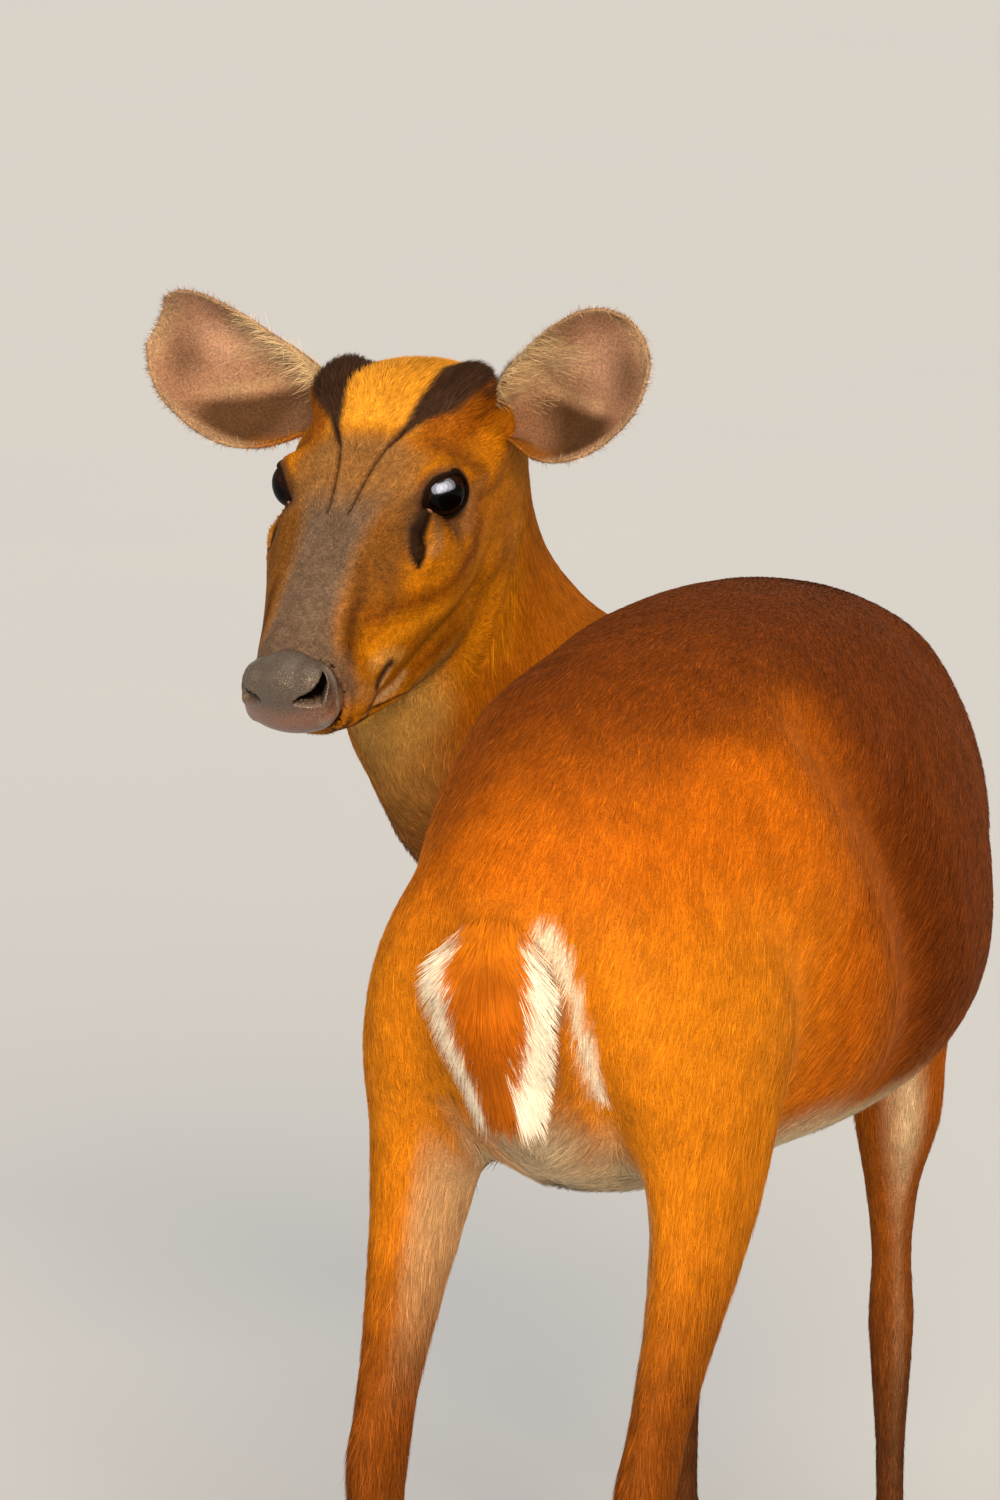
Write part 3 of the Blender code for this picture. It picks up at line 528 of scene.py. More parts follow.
@dataclass(frozen=True)
class HairFinish:
    """Short deer hair: each hair is glossy, and the coat as a whole has a soft silky sheen.

    Attributes:
        name: The material's name.
        grain_mm: Width of a lock of hairs that lie together.
        drawn_out: How many times longer than wide the grain is, along the lie of the hair.
        mottle_mm: Width of the patches where the coat is a little lighter or darker.
        bump_mm: Depth of the grain.
        variation: How far the grain lightens and darkens the colour.
        roughness: How dull the hair is.
    """

    name: str = "short deer hair"
    grain_mm: float = 0.7
    drawn_out: float = 9.0
    mottle_mm: float = 7.0
    bump_mm: float = 0.3
    variation: float = 0.24
    roughness: float = 0.62

    def make(self) -> Material:
        """Build the material."""
        material, tree, shader = new_material(self.name)
        place = add_node(tree, "ShaderNodeTexCoord").outputs["Object"]
        lie = add_node(tree, "ShaderNodeAttribute", {"attribute_name": LIE}).outputs["Vector"]
        colour = add_node(tree, "ShaderNodeAttribute", {"attribute_name": COLOUR}).outputs["Color"]
        share = add_node(tree, "ShaderNodeVectorMath", {"operation": "DOT_PRODUCT"}, {0: place, 1: lie})
        step = add_node(
            tree, "ShaderNodeVectorMath", {"operation": "SCALE"}, {0: lie, "Scale": share.outputs["Value"]},
        )
        shrunk = add_node(
            tree, "ShaderNodeVectorMath", {"operation": "SCALE"},
            {0: step.outputs["Vector"], "Scale": 1 - 1 / self.drawn_out},
        )
        along = add_node(
            tree, "ShaderNodeVectorMath", {"operation": "SUBTRACT"}, {0: place, 1: shrunk.outputs["Vector"]},
        )
        grain = add_node(
            tree, "ShaderNodeTexNoise", None,
            {"Vector": along.outputs["Vector"], "Scale": 1000 / (NOISE_CELLS * self.grain_mm), "Detail": 3.0},
        )
        strength = add_node(
            tree, "ShaderNodeMapRange", None,
            {
                "Value": grain.outputs["Fac"], "From Min": 0.3, "From Max": 0.7, "To Min": 1 - self.variation,
                "To Max": 1 + self.variation,
            },
        )
        patches = add_node(
            tree, "ShaderNodeTexNoise", None,
            {"Vector": place, "Scale": 1000 / (NOISE_CELLS * self.mottle_mm), "Detail": 2.0},
        )
        mottle = add_node(
            tree, "ShaderNodeMapRange", None,
            {
                "Value": patches.outputs["Fac"], "From Min": 0.3, "From Max": 0.7, "To Min": 0.86,
                "To Max": 1.12,
            },
        )
        both = add_node(
            tree, "ShaderNodeMath", {"operation": "MULTIPLY"},
            {0: strength.outputs["Result"], 1: mottle.outputs["Result"]},
        )
        mottled = add_node(
            tree, "ShaderNodeVectorMath", {"operation": "SCALE"}, {0: colour, "Scale": both.outputs["Value"]},
        )
        bump = add_node(
            tree, "ShaderNodeBump", None,
            {"Height": grain.outputs["Fac"], "Distance": self.bump_mm / 1000, "Strength": 0.8},
        )
        finish = {
            "Base Color": mottled.outputs["Vector"], "Normal": bump.outputs["Normal"],
            "Roughness": self.roughness, "Specular IOR Level": 0.06, "Sheen Weight": 0.02,
            "Sheen Roughness": 0.4, "Sheen Tint": linear("FFB060"),
        }
        set_inputs(tree, shader, finish)
        return material


@dataclass(frozen=True)
class NoseFinish:
    """Rhinarium skin: bare, moist and pebbled, so it is glossy between fine creases, and its colour is
    darkened in the creases as painted shade.

    Attributes:
        pebble_mm: Width of one pebble.
        crease_mm: Depth of the creases.
        roughness: How dull the moist skin is.
    """

    pebble_mm: float = 1.3
    crease_mm: float = 0.26
    roughness: float = 0.36

    def make(self) -> Material:
        """Build the material."""
        material, tree, shader = new_material("moist nose skin")
        place = add_node(tree, "ShaderNodeTexCoord").outputs["Object"]
        colour = add_node(tree, "ShaderNodeAttribute", {"attribute_name": COLOUR}).outputs["Color"]
        pebbles = add_node(
            tree, "ShaderNodeTexVoronoi", {"feature": "DISTANCE_TO_EDGE"},
            {"Vector": place, "Scale": 1000 / self.pebble_mm, "Randomness": 0.9},
        )
        dome = add_node(
            tree, "ShaderNodeMapRange", {"interpolation_type": "SMOOTHSTEP"},
            {"Value": pebbles.outputs["Distance"], "From Min": 0.0, "From Max": 0.34},
        )
        fine = add_node(tree, "ShaderNodeTexNoise", None, {"Vector": place, "Scale": 1900.0, "Detail": 2.0})
        height = add_node(
            tree, "ShaderNodeMath", {"operation": "MULTIPLY_ADD"},
            {0: fine.outputs["Fac"], 1: 0.25, 2: dome.outputs["Result"]},
        )
        # Painted shade: the colour darkens towards the creases between the pebbles.
        shade = add_node(
            tree, "ShaderNodeMapRange", None,
            {"Value": dome.outputs["Result"], "To Min": 0.58, "To Max": 1.06},
        )
        crease_shaded = add_node(
            tree, "ShaderNodeVectorMath", {"operation": "SCALE"},
            {0: colour, "Scale": shade.outputs["Result"]},
        )
        bump = add_node(
            tree, "ShaderNodeBump", None,
            {"Height": height.outputs["Value"], "Distance": self.crease_mm / 1000, "Strength": 0.6},
        )
        finish = {
            "Base Color": crease_shaded.outputs["Vector"], "Normal": bump.outputs["Normal"],
            "Roughness": self.roughness, "Coat Roughness": 0.18,
        }
        for name, most in (("Specular IOR Level", 0.6), ("Coat Weight", 0.25)):
            inputs = {"Value": colour, "From Min": 0.01, "From Max": 0.05, "To Max": most}
            finish[name] = add_node(tree, "ShaderNodeMapRange", None, inputs).outputs["Result"]
        set_inputs(tree, shader, finish)
        return material


@dataclass(frozen=True)
class EyeFinish:
    """A wet deer eye: a dark brown iris round a wide black pupil, under a clear, mirror-smooth cornea.

    Attributes:
        iris: Hex colour of the iris.
        pupil: Hex colour of the pupil.
        pupil_size: Width and height of the lying pupil, as shares of the eye's radius.
    """

    iris: str = "2A160B"
    pupil: str = "040303"
    pupil_size: tuple[float, float] = (0.62, 0.4)

    def make(self) -> Material:
        """Build the material."""
        material, tree, shader = new_material("wet cornea over dark iris")
        gaze = add_node(tree, "ShaderNodeAttribute", {"attribute_name": LIE}).outputs["Vector"]
        wide, high = self.pupil_size
        squashed = add_node(
            tree, "ShaderNodeVectorMath", {"operation": "MULTIPLY"}, {0: gaze, 1: (1 / wide, 0.0, 1 / high)},
        )
        reach = add_node(
            tree, "ShaderNodeVectorMath", {"operation": "LENGTH"}, {0: squashed.outputs["Vector"]},
        )
        edge = add_node(
            tree, "ShaderNodeMapRange", {"interpolation_type": "SMOOTHSTEP"},
            {"Value": reach.outputs["Value"], "From Min": 0.9, "From Max": 1.1},
        )
        fibres = add_node(tree, "ShaderNodeTexNoise", None, {"Vector": gaze, "Scale": 14.0, "Detail": 4.0})
        brown = add_node(
            tree, "ShaderNodeMix", {"data_type": "RGBA"},
            {"Factor": fibres.outputs["Fac"], 6: linear(self.iris), 7: linear("0D0704")},
        )
        both = add_node(
            tree, "ShaderNodeMix", {"data_type": "RGBA"},
            {"Factor": edge.outputs["Result"], 6: linear(self.pupil), 7: brown.outputs[2]},
        )
        finish = {
            "Base Color": both.outputs[2], "Roughness": 0.2, "Specular IOR Level": 0.0, "Coat Weight": 0.26,
            "Coat Roughness": 0.12, "Coat IOR": 1.36,
        }
        set_inputs(tree, shader, finish)
        return material


@dataclass(frozen=True)
class HornFinish:
    """Hoof horn: dark keratin that grows down in fine ridges, each with a paler worn crest.

    Attributes:
        colour, worn: Hex colours of the horn and of the worn crests.
        ridge_mm: Width of a ridge.
    """

    colour: str = "2B211A"
    worn: str = "4A3A2C"
    ridge_mm: float = 1.6

    def make(self) -> Material:
        """Build the material."""
        material, tree, shader = new_material("hoof keratin")
        place = add_node(tree, "ShaderNodeTexCoord").outputs["Object"]
        flat = add_node(
            tree, "ShaderNodeVectorMath", {"operation": "MULTIPLY"}, {0: place, 1: (0.25, 0.25, 1.0)},
        )
        ridges = add_node(
            tree, "ShaderNodeTexNoise", None,
            {"Vector": flat.outputs["Vector"], "Scale": 1000 / self.ridge_mm, "Detail": 3.0},
        )
        mixed = add_node(
            tree, "ShaderNodeMix", {"data_type": "RGBA"},
            {"Factor": ridges.outputs["Fac"], 6: linear(self.colour), 7: linear(self.worn)},
        )
        relief = {"Height": ridges.outputs["Fac"], "Distance": 0.0004, "Strength": 0.7}
        bump = add_node(tree, "ShaderNodeBump", None, relief)
        set_inputs(
            tree, shader,
            {"Base Color": mixed.outputs[2], "Normal": bump.outputs["Normal"], "Roughness": 0.42},
        )
        return material


@dataclass(frozen=True)
class LidFinish:
    """The bare skin of an eyelid: black-brown at the rim, pink in the corner, and moist.

    Attributes:
        name: The material's name.
        colour, worn: Hex colours of the skin and of its paler grain.
        roughness: How dull the skin is.
        gloss: How much of the light its moist surface mirrors.
    """

    name: str = "bare lid skin"
    colour: str = "120B07"
    worn: str = "20140C"
    roughness: float = 0.6
    gloss: float = 0.05

    def make(self) -> Material:
        """Build the material."""
        material, tree, shader = new_material(self.name)
        place = add_node(tree, "ShaderNodeTexCoord").outputs["Object"]
        grain = add_node(tree, "ShaderNodeTexNoise", None, {"Vector": place, "Scale": 1400.0, "Detail": 3.0})
        mixed = add_node(
            tree, "ShaderNodeMix", {"data_type": "RGBA"},
            {"Factor": grain.outputs["Fac"], 6: linear(self.colour), 7: linear(self.worn)},
        )
        relief = {"Height": grain.outputs["Fac"], "Distance": 0.0003, "Strength": 0.5}
        bump = add_node(tree, "ShaderNodeBump", None, relief)
        finish = {
            "Base Color": mixed.outputs[2], "Normal": bump.outputs["Normal"], "Roughness": self.roughness,
            "Specular IOR Level": self.gloss,
        }
        set_inputs(tree, shader, finish)
        return material


# ---- markings


@dataclass(frozen=True)
class Skin:
    """The surface of the head before its folds are pressed in, to lay paths on.

    Attributes:
        tree: The surface.
    """

    tree: BVHTree

    def nearest(self, path: Sequence[Sequence[float]], side: float = 1.0) -> Array:
        """Lay a path of the head frame on the skin.

        Args:
            path: Its corners, on the right of the head.
            side: -1 to lay it on the left.

        Returns:
            The corners on the skin.
        """
        places = HEAD.world(np.array(path, float) * (side, 1.0, 1.0))
        return HEAD.local(np.array([self.tree.find_nearest(Vector(place))[0] for place in places]))


@dataclass(frozen=True)
class Stroke:
    """A marking on each side of the face: a soft-edged stripe along a path in the head frame.

    Attributes:
        path: Places on the right of the head, each with the stripe's half width (cm).
        colour: Hex colour.
        soft: How far the edge fades (cm).
        strength: How fully it covers what lies under it.
    """

    path: Rows
    colour: str
    soft: float = 0.3
    strength: float = 1.0

    def cover(self, points: Array, skin: Skin) -> Array:
        """The share of the marking at points of the head frame."""
        mirrored = both_sides(points)
        rows = np.array(self.path, float)
        distance, place = along_path(mirrored, skin.nearest(rows[:, :3]))
        half = np.interp(place, np.arange(len(rows)), rows[:, 3])
        return self.strength * ramp(distance - half, self.soft / 2, -self.soft / 2)


@dataclass
class Paint:
    """The colours of places, laid over one another.

    Attributes:
        colour: The linear colour of each place so far.
    """

    colour: Array

    @classmethod
    def plain(cls, code: str, count: int) -> "Paint":
        """Start with one hex colour everywhere."""
        return cls(np.tile(tint(code), (count, 1)))

    def lay(self, code: str, share: Array) -> None:
        """Blend a hex colour over what is there, by a share from 0 to 1."""
        self.colour = self.colour + (tint(code) - self.colour) * np.clip(share, 0, 1)[:, None]

    def strokes(self, strokes: Sequence[Stroke], local: Array, skin: Skin) -> None:
        """Lay markings at places of the head frame, the first one lowest."""
        for stroke in strokes:
            self.lay(stroke.colour, stroke.cover(local, skin))


EYE_AT = (3.75, -0.6, 0.12)
EYE_RADIUS = 1.42
EYE_AXIS = (0.74, 0.65, 0.16)
EYE_REGION = 3.0  # how far the lids shape and colour the hide round the eye (cm)
LID_SHELL = EYE_RADIUS + 0.06  # the round that the lids lie on (cm)
SLIT = ((1.92, -2.14, 2.46), (1.28, -1.03, 2.24), (0.92, 0.14, 1.91), (0.68, 1.71, 1.42), (0.57, 2.7, 1.1))
GLAND = (
    (3.82, 1.28, 0.6), (4.01, 1.84, 0.19), (4.18, 2.4, -0.28), (4.16, 2.63, -0.9), (4.2, 3.04, -1.18),
    (4.2, 3.63, -1.26),
)
GLAND_FLOOR = (
    (3.72, 1.5, 0.58), (3.78, 2.09, 0.3), (3.86, 2.64, -0.1), (3.98, 3.05, -0.5), (4.09, 3.4, -0.9),
)
MOUTH = (
    (1.2, 10.9, -6.0), (2.33, 10.0, -5.9), (2.25, 8.6, -6.6), (2.05, 7.29, -7.09), (2.23, 6.1, -7.56),
    (2.15, 4.8, -8.19),
)
SPOT = ((3.12, 6.93, -4.69), (3.0, 7.24, -4.82), (2.88, 7.57, -4.99), (2.76, 7.93, -5.21))
BROW_FOLD = (
    (3.67, 0.77, 1.04), (3.86, 0.23, 1.43), (4.15, -0.35, 1.61), (4.46, -1.09, 1.4), (4.57, -2.09, 0.74),
)

FACE_UNDER = (
    Stroke(
        (
            (2.1, 5.2, -0.2, 0.3), (2.4, 6.5, -0.9, 0.5), (2.4, 7.6, -1.4, 0.5), (2.45, 8.4, -1.9, 0.48),
            (2.5, 9.2, -2.7, 0.4),
        ), "563108", 1.0, 1.0,
    ),
    Stroke(
        (
            (4.95, -2.4, -1.4, 0.25), (4.85, -1.4, -2.6, 0.42), (4.8, -0.4, -3.3, 0.42),
            (4.87, 1.54, -3.4, 0.38), (4.66, 2.82, -3.3, 0.38), (4.22, 4.25, -2.8, 0.36),
            (3.5, 5.78, -2.05, 0.42), (2.94, 6.97, -1.76, 0.45),
        ), "743C08", 0.8, 0.72,
    ),
    Stroke(
        (
            (2.75, 4.9, -7.0, 0.2), (2.85, 4.2, -7.0, 0.36), (3.1, 3.0, -7.2, 0.5), (3.45, 1.12, -7.1, 0.5),
            (3.67, -0.78, -7.0, 0.45), (4.16, -1.81, -6.6, 0.36), (4.47, -2.72, -6.0, 0.3),
        ), "6E3606", 1.0, 0.66,
    ),
    Stroke(
        (
            (3.0, 7.7, -3.3, 0.4), (3.31, 6.71, -3.45, 0.5), (3.65, 5.6, -3.7, 0.45),
            (4.25, 4.14, -4.0, 0.36), (4.4, 2.3, -4.8, 0.46), (4.4, 0.1, -5.05, 0.55),
            (4.55, -1.2, -4.3, 0.4), (4.65, -2.5, -3.6, 0.4),
        ), "DA8E14", 0.7, 0.92,
    ),
    # Bright orange of the jaw: partly its own colour, partly painted light.
    Stroke(
        ((2.17, 1.54, -11.4, 0.7), (2.9, 0.53, -10.6, 1.0), (3.6, -0.9, -10.0, 1.0), (4.1, -3.1, -10.0, 1.0)),
        "F4AC26", 1.2, 1.0,
    ),
    Stroke(
        (
            (4.45, 2.5, -1.2, 0.3), (4.59, 1.63, -0.7, 0.36), (4.86, 0.78, -1.1, 0.34),
            (4.91, -0.52, -1.5, 0.28), (4.91, -1.44, -1.4, 0.15),
        ), "A67848", 0.6, 0.9,
    ),
    Stroke(((2.9, 7.9, -3.9, 0.4), (3.1, 7.1, -4.1, 0.45), (3.22, 6.2, -4.8, 0.4)), "D8A050", 0.7, 0.8),
    Stroke(((2.4, 9.6, -4.2, 0.5), (2.6, 8.6, -5.2, 0.6), (2.7, 8.0, -5.9, 0.5)), "A9753A", 0.9, 0.8),
)
FACE_OVER = (
    Stroke(
        (
            (2.2, 9.6, -5.9, 0.2), (2.45, 8.6, -6.1, 0.28), (2.35, 7.2, -6.6, 0.3), (2.45, 6.2, -6.8, 0.3),
            (2.6, 5.4, -6.6, 0.2),
        ), "CDA678", 0.45, 0.9,
    ),
    Stroke(((3.35, 6.9, -5.0, 0.14), (3.2, 7.3, -5.3, 0.16), (3.0, 7.75, -5.6, 0.14)), "D2A878", 0.25, 0.8),
    Stroke(((1.2, 10.2, -6.6, 0.5), (1.5, 8.8, -7.2, 0.5), (1.6, 7.3, -7.7, 0.4)), "6A3E14", 0.5, 0.9),
    Stroke(tuple((*place, 0.07) for place in MOUTH), "2E2018", 0.16, 0.9),
    Stroke(tuple((*place, 0.3) for place in SPOT), "4A3426", 0.4, 0.95),
    # Painted shade along the brow fold above the eye.
    Stroke(tuple((*place, 0.08) for place in BROW_FOLD), "5E3C1C", 0.4, 0.4),
    Stroke(((3.5, -2.0, 1.7, 0.3), (4.6, -2.3, 0.9, 0.3), (5.2, -2.4, 0.0, 0.36)), "70400C", 0.8, 0.95),
    Stroke(((3.5, 0.9, 0.95, 0.2), (3.6, 1.6, 0.62, 0.36), (3.66, 2.2, 0.32, 0.4)), "5E4230", 0.5, 0.85),
    Stroke(
        ((3.7, 1.9, 0.4, 0.3), (3.76, 2.5, 0.0, 0.46), (3.85, 3.0, -0.5, 0.5), (4.0, 3.4, -0.95, 0.4)),
        "56402E", 0.5, 0.8,
    ),
    # Dark of the gland's pocket: partly its bare dark skin, partly painted shade.
    Stroke(
        (
            (3.84, 1.8, 0.34, 0.24), (3.9, 2.3, 0.05, 0.36), (3.97, 2.75, -0.4, 0.42),
            (4.05, 3.15, -0.8, 0.4), (4.13, 3.5, -1.12, 0.24),
        ), "281710", 0.4, 0.96,
    ),
    # Painted shade: the gland's slit near black.
    Stroke(tuple((*place, 0.1) for place in GLAND), "0E0906", 0.22, 1.0),
    Stroke(
        (
            (3.6, -8.3, 1.4, 0.9), (3.45, -7.4, 2.2, 1.4), (3.4, -6.5, 2.6, 1.6), (3.4, -5.4, 2.8, 1.36),
            (3.1, -4.4, 2.9, 1.1), (2.68, -3.75, 2.78, 0.8), (2.34, -3.15, 2.66, 0.54),
            (2.05, -2.4, 2.5, 0.34), (1.75, -1.8, 2.38, 0.2), (1.42, -1.2, 2.28, 0.1),
        ), "38261B", 0.5,
    ),
    Stroke(((4.7, -5.2, 2.2, 0.3), (5.1, -6.0, 1.6, 0.4), (5.0, -6.9, 0.6, 0.4)), "3A2416", 0.4, 0.85),
    # Painted shade: the furrows of the slits, darkest along their middle.
    Stroke(tuple((*place, 0.09) for place in SLIT), "2A1C12", 0.34, 0.7),
    Stroke(tuple((*place, 0.03) for place in SLIT), "17100B", 0.1, 0.8),
)
BRIDGE_HALF = (
    (-2.2, 2.1), (-0.5, 2.5), (1.0, 2.3), (3.3, 1.6), (5.2, 1.45), (6.5, 1.55), (8.0, 1.6), (9.5, 1.9),
)
THIGH_EDGE = (
    (33.0, 24.0), (37.1, 24.9), (38.8, 24.0), (41.4, 23.1), (44.0, 22.0), (46.7, 20.2), (49.8, 18.7),
    (51.7, 18.1),
)
RUMP_LINE = ((2.2, 0.3, 46.7), (3.0, 0.5, 45.2), (3.7, 0.6, 43.3), (4.0, 1.0, 41.4), (4.1, 2.2, 38.4))


@dataclass(frozen=True)
class Markings:
    """The colours of the coat by place, with some painted shade and painted light laid in. Hide and hair both
    take theirs from here.
    """

    chestnut: str = "C96A0A"
    back: str = "6E3406"
    flank: str = "743708"
    thigh: str = "DB8414"
    shank: str = "8A4A10"
    cannon: str = "54311A"
    belly: str = "D8C29C"
    neck: str = "AE640C"
    throat: str = "B08442"
    face: str = "B4700C"
    cheek: str = "744A1A"
    crown: str = "E09A2C"
    bridge: str = "6C5A4C"
    brow: str = "906638"

    def body(self, plan: Array, normals: Array) -> Array:
        """The colours of trunk, legs and tail.

        Args:
            plan: Places in the plan frame.
            normals: Which way the hide faces there.

        Returns:
            Linear colours.
        """
        x, y, z = plan.T
        paint = Paint.plain(self.chestnut, len(plan))
        edge = np.interp(z, *np.transpose(THIGH_EDGE))
        paint.lay(self.thigh, ramp(z, 50, 43) * ramp(y, 20, 8))
        # Dark flank: partly its own darker fur, partly a painted cast shadow.
        paint.lay(self.flank, ramp(y - edge, -3.5, 7.0) * ramp(z, 30, 37))
        # Dark back: partly its own darker fur, partly painted shade on the upward-facing top.
        paint.lay(self.back, 0.9 * ramp(normals[:, 2], 0.3, 0.85) * ramp(z, 49, 56))
        # Painted shade on the left side of the croup.
        paint.lay(self.back, 0.55 * ramp(x, -1.5, -5.0) * ramp(z, 46, 51) * ramp(y, 0.5, 4.0))
        paint.lay(self.shank, ramp(z, 36, 23))
        paint.lay(self.cannon, 0.9 * ramp(z, 24, 10))
        paint.lay(self.belly, ramp(normals[:, 2], -0.55, -0.9) * ramp(z, 28, 31) * ramp(z, 45, 40))
        inward = -normals[:, 0] * np.sign(x)
        paint.lay(
            self.belly, 0.6 * ramp(inward, 0.5, 1.0) * ramp(z, 22, 33) * ramp(z, 42, 36) * ramp(y, 22, 14),
        )
        by_tail = both_sides(plan) + np.outer(1.3 * (x < 0), (1.0, 0.0, 0.0))
        perineum = np.abs(along_path(by_tail, RUMP_LINE)[0]) - 0.2 * ramp(z, 43, 45.5)
        paint.lay("F6EBD8", ramp(perineum, 0.42, 0.2) * ramp(z, 47.4, 46.2))
        # Painted shade on the rump under the hanging tail.
        shade_under_tail = ramp(np.abs(x - 0.4), 3.2, 2.4) * ramp(z, 46, 44) * ramp(normals[:, 1], -0.1, -0.5)
        paint.lay("7A4418", 0.5 * shade_under_tail * ramp(z, 33, 37))
        paint.lay(
            "E0CCA8", 0.8 * ramp(np.abs(x), 3.8, 1.6) * ramp(z, 39, 35) * ramp(normals[:, 1], -0.1, -0.7),
        )
        return paint.colour

    def neck_colour(self, normals: Array) -> Array:
        """The colours of the neck: orange-brown with a pale throat."""
        throat = HEAD.ways((0.0, 1.0, -0.35))
        share = ramp(normals @ (throat / np.linalg.norm(throat)), 0.5, 0.95)[:, None]
        return tint(self.neck) * (1 - share) + tint(self.throat) * share

    def head(self, local: Array, normals: Array, skin: Skin) -> Array:
        """The colours of the head.

        Args:
            local: Places in the head frame.
            normals: Which way the hide faces there, in the head frame.
            skin: The surface of the head.

        Returns:
            Linear colours.
        """
        x, y, z = local.T
        across = np.abs(x)
        paint = Paint.plain(self.face, len(local))
        paint.lay(self.throat, ramp(z, -7.4, -8.6) * ramp(y, 0.6, 2.4))
        paint.lay(self.throat, ramp(normals[:, 2], -0.3, -0.8) * ramp(z, -6.3, -7.4) * ramp(y, -7, -2))
        paint.strokes(FACE_UNDER, local, skin)
        paint.lay(
            self.cheek,
            ramp(y, -0.4, 1.4) * ramp(y, 8.0, 4.6) * ramp(across, 4.2, 3.3) * ramp(z, -3.2, -1.6),
        )
        paint.lay(
            self.brow,
            0.75 * ramp(y, 3.4, 1.0) * ramp(y, -2.2, -0.6) * ramp(across, 3.9, 3.0) * ramp(z, 0.0, 0.8),
        )
        paint.lay("8E5008", ramp(y, -0.6, -2.4) * ramp(z, 0.2, 1.4) * ramp(across, 1.8, 2.6))
        paint.lay(self.crown, ramp(y, -1.2, -2.8) * ramp(z, 1.2, 2.0) * ramp(across, 2.9, 2.1))
        half = np.interp(y, *np.transpose(BRIDGE_HALF))
        on_top = ramp(across - half, 0.7, -0.5) * ramp(z, -3.4, -2.0)
        paint.lay(self.brow, on_top * ramp(y, -2.3, -0.9))
        paint.lay(self.bridge, on_top * ramp(y, 0.6, 3.2))
        paint.lay(self.bridge, 0.9 * ramp(y, 8.6, 9.9) * ramp(z, -5.4, -3.6))
        paint.strokes(FACE_OVER, local, skin)
        paint.lay("5E3812", 0.9 * ramp(normals[:, 2], -0.1, -0.6) * ramp(y, 7.4, 8.8))
        return paint.colour


MARKINGS = Markings()


# ---- the hide


@dataclass
class Ground:
    """What hair needs to know of the surface that it grows on, one entry for each vertex.

    Attributes:
        obj: The object of the surface.
        lie: Direction of the hair along the surface.
        colour: Linear colour.
        length, width: Size of a tuft (metres).
        lift: Slope of a tuft from the surface.
        density: Tufts on a square metre.
        unruly: How far tufts turn aside, in radians.
        variety: How far tufts differ in brightness.
    """

    obj: Object
    lie: Array
    colour: Array
    length: Array
    width: Array
    lift: Array
    density: Array
    unruly: Array
    variety: Array


@dataclass(frozen=True)
class CoatPart:
    """How the hair is on one node of flesh.

    Attributes:
        depth: How deep the hide lies under the solid (cm).
        length, width: Size of a tuft (cm).
        lift: Slope of a tuft from the surface.
        density: Tufts on a square centimetre.
    """

    depth: float
    length: float
    width: float
    lift: float
    density: float


COAT_PARTS = {
    "torso": CoatPart(0.2, 0.85, 0.075, 0.1, 32.0),
    "neck": CoatPart(0.2, 0.85, 0.075, 0.11, 36.0),
    "head": CoatPart(0.07, 0.3, 0.045, 0.12, 145.0),
    "hind_leg_upper": CoatPart(0.18, 0.8, 0.075, 0.1, 35.0),
    "fore_leg_upper": CoatPart(0.15, 0.7, 0.07, 0.1, 36.0),
    "hind_leg_lower": CoatPart(0.1, 0.45, 0.06, 0.1, 55.0),
    "fore_leg_lower": CoatPart(0.1, 0.45, 0.06, 0.1, 55.0),
}
BARE_PATHS = (
    (GLAND, 0.26, 0.14), (GLAND_FLOOR, 0.46, 0.3), (SPOT, 0.3, 0.16), (SLIT, 0.08, 0.04), (MOUTH, 0.12, 0.06),
)
THIGH_FRONT = (
    (7.6, 19.5, 52.5), (8.6, 21.5, 49.8), (9.0, 23.6, 46.7), (9.0, 25.4, 44.0), (8.9, 26.6, 41.4),
    (8.5, 27.6, 38.8), (7.9, 28.5, 36.5),
)
THIGH_BACK = ((8.6, 15.5, 48.5), (9.2, 17.5, 44.5), (9.0, 19.5, 40.5), (8.4, 20.5, 36.5))
NECK_LIE = (0.05, 0.1, -1.0)
TRUNK_TURN = 23.0  # degrees by which the spine bends from rump to withers
TRUNK_LENGTH = 51.0  # cm from the root of the tail to the withers
TAIL_TABLE = (
    (-0.6, 0.0, 1.0, 1.9, 1.9, 1.0), (1.5, 0.15, -0.5, 3.7, 1.9, 0.7), (4.0, 0.35, -1.25, 4.0, 1.7, 0.6),
    (6.0, 0.9, -1.7, 3.5, 1.3, 0.65), (8.5, 1.5, -1.7, 2.5, 0.7, 0.4), (12.2, 1.9, -1.6, 1.3, 0.4, 0.2),
)


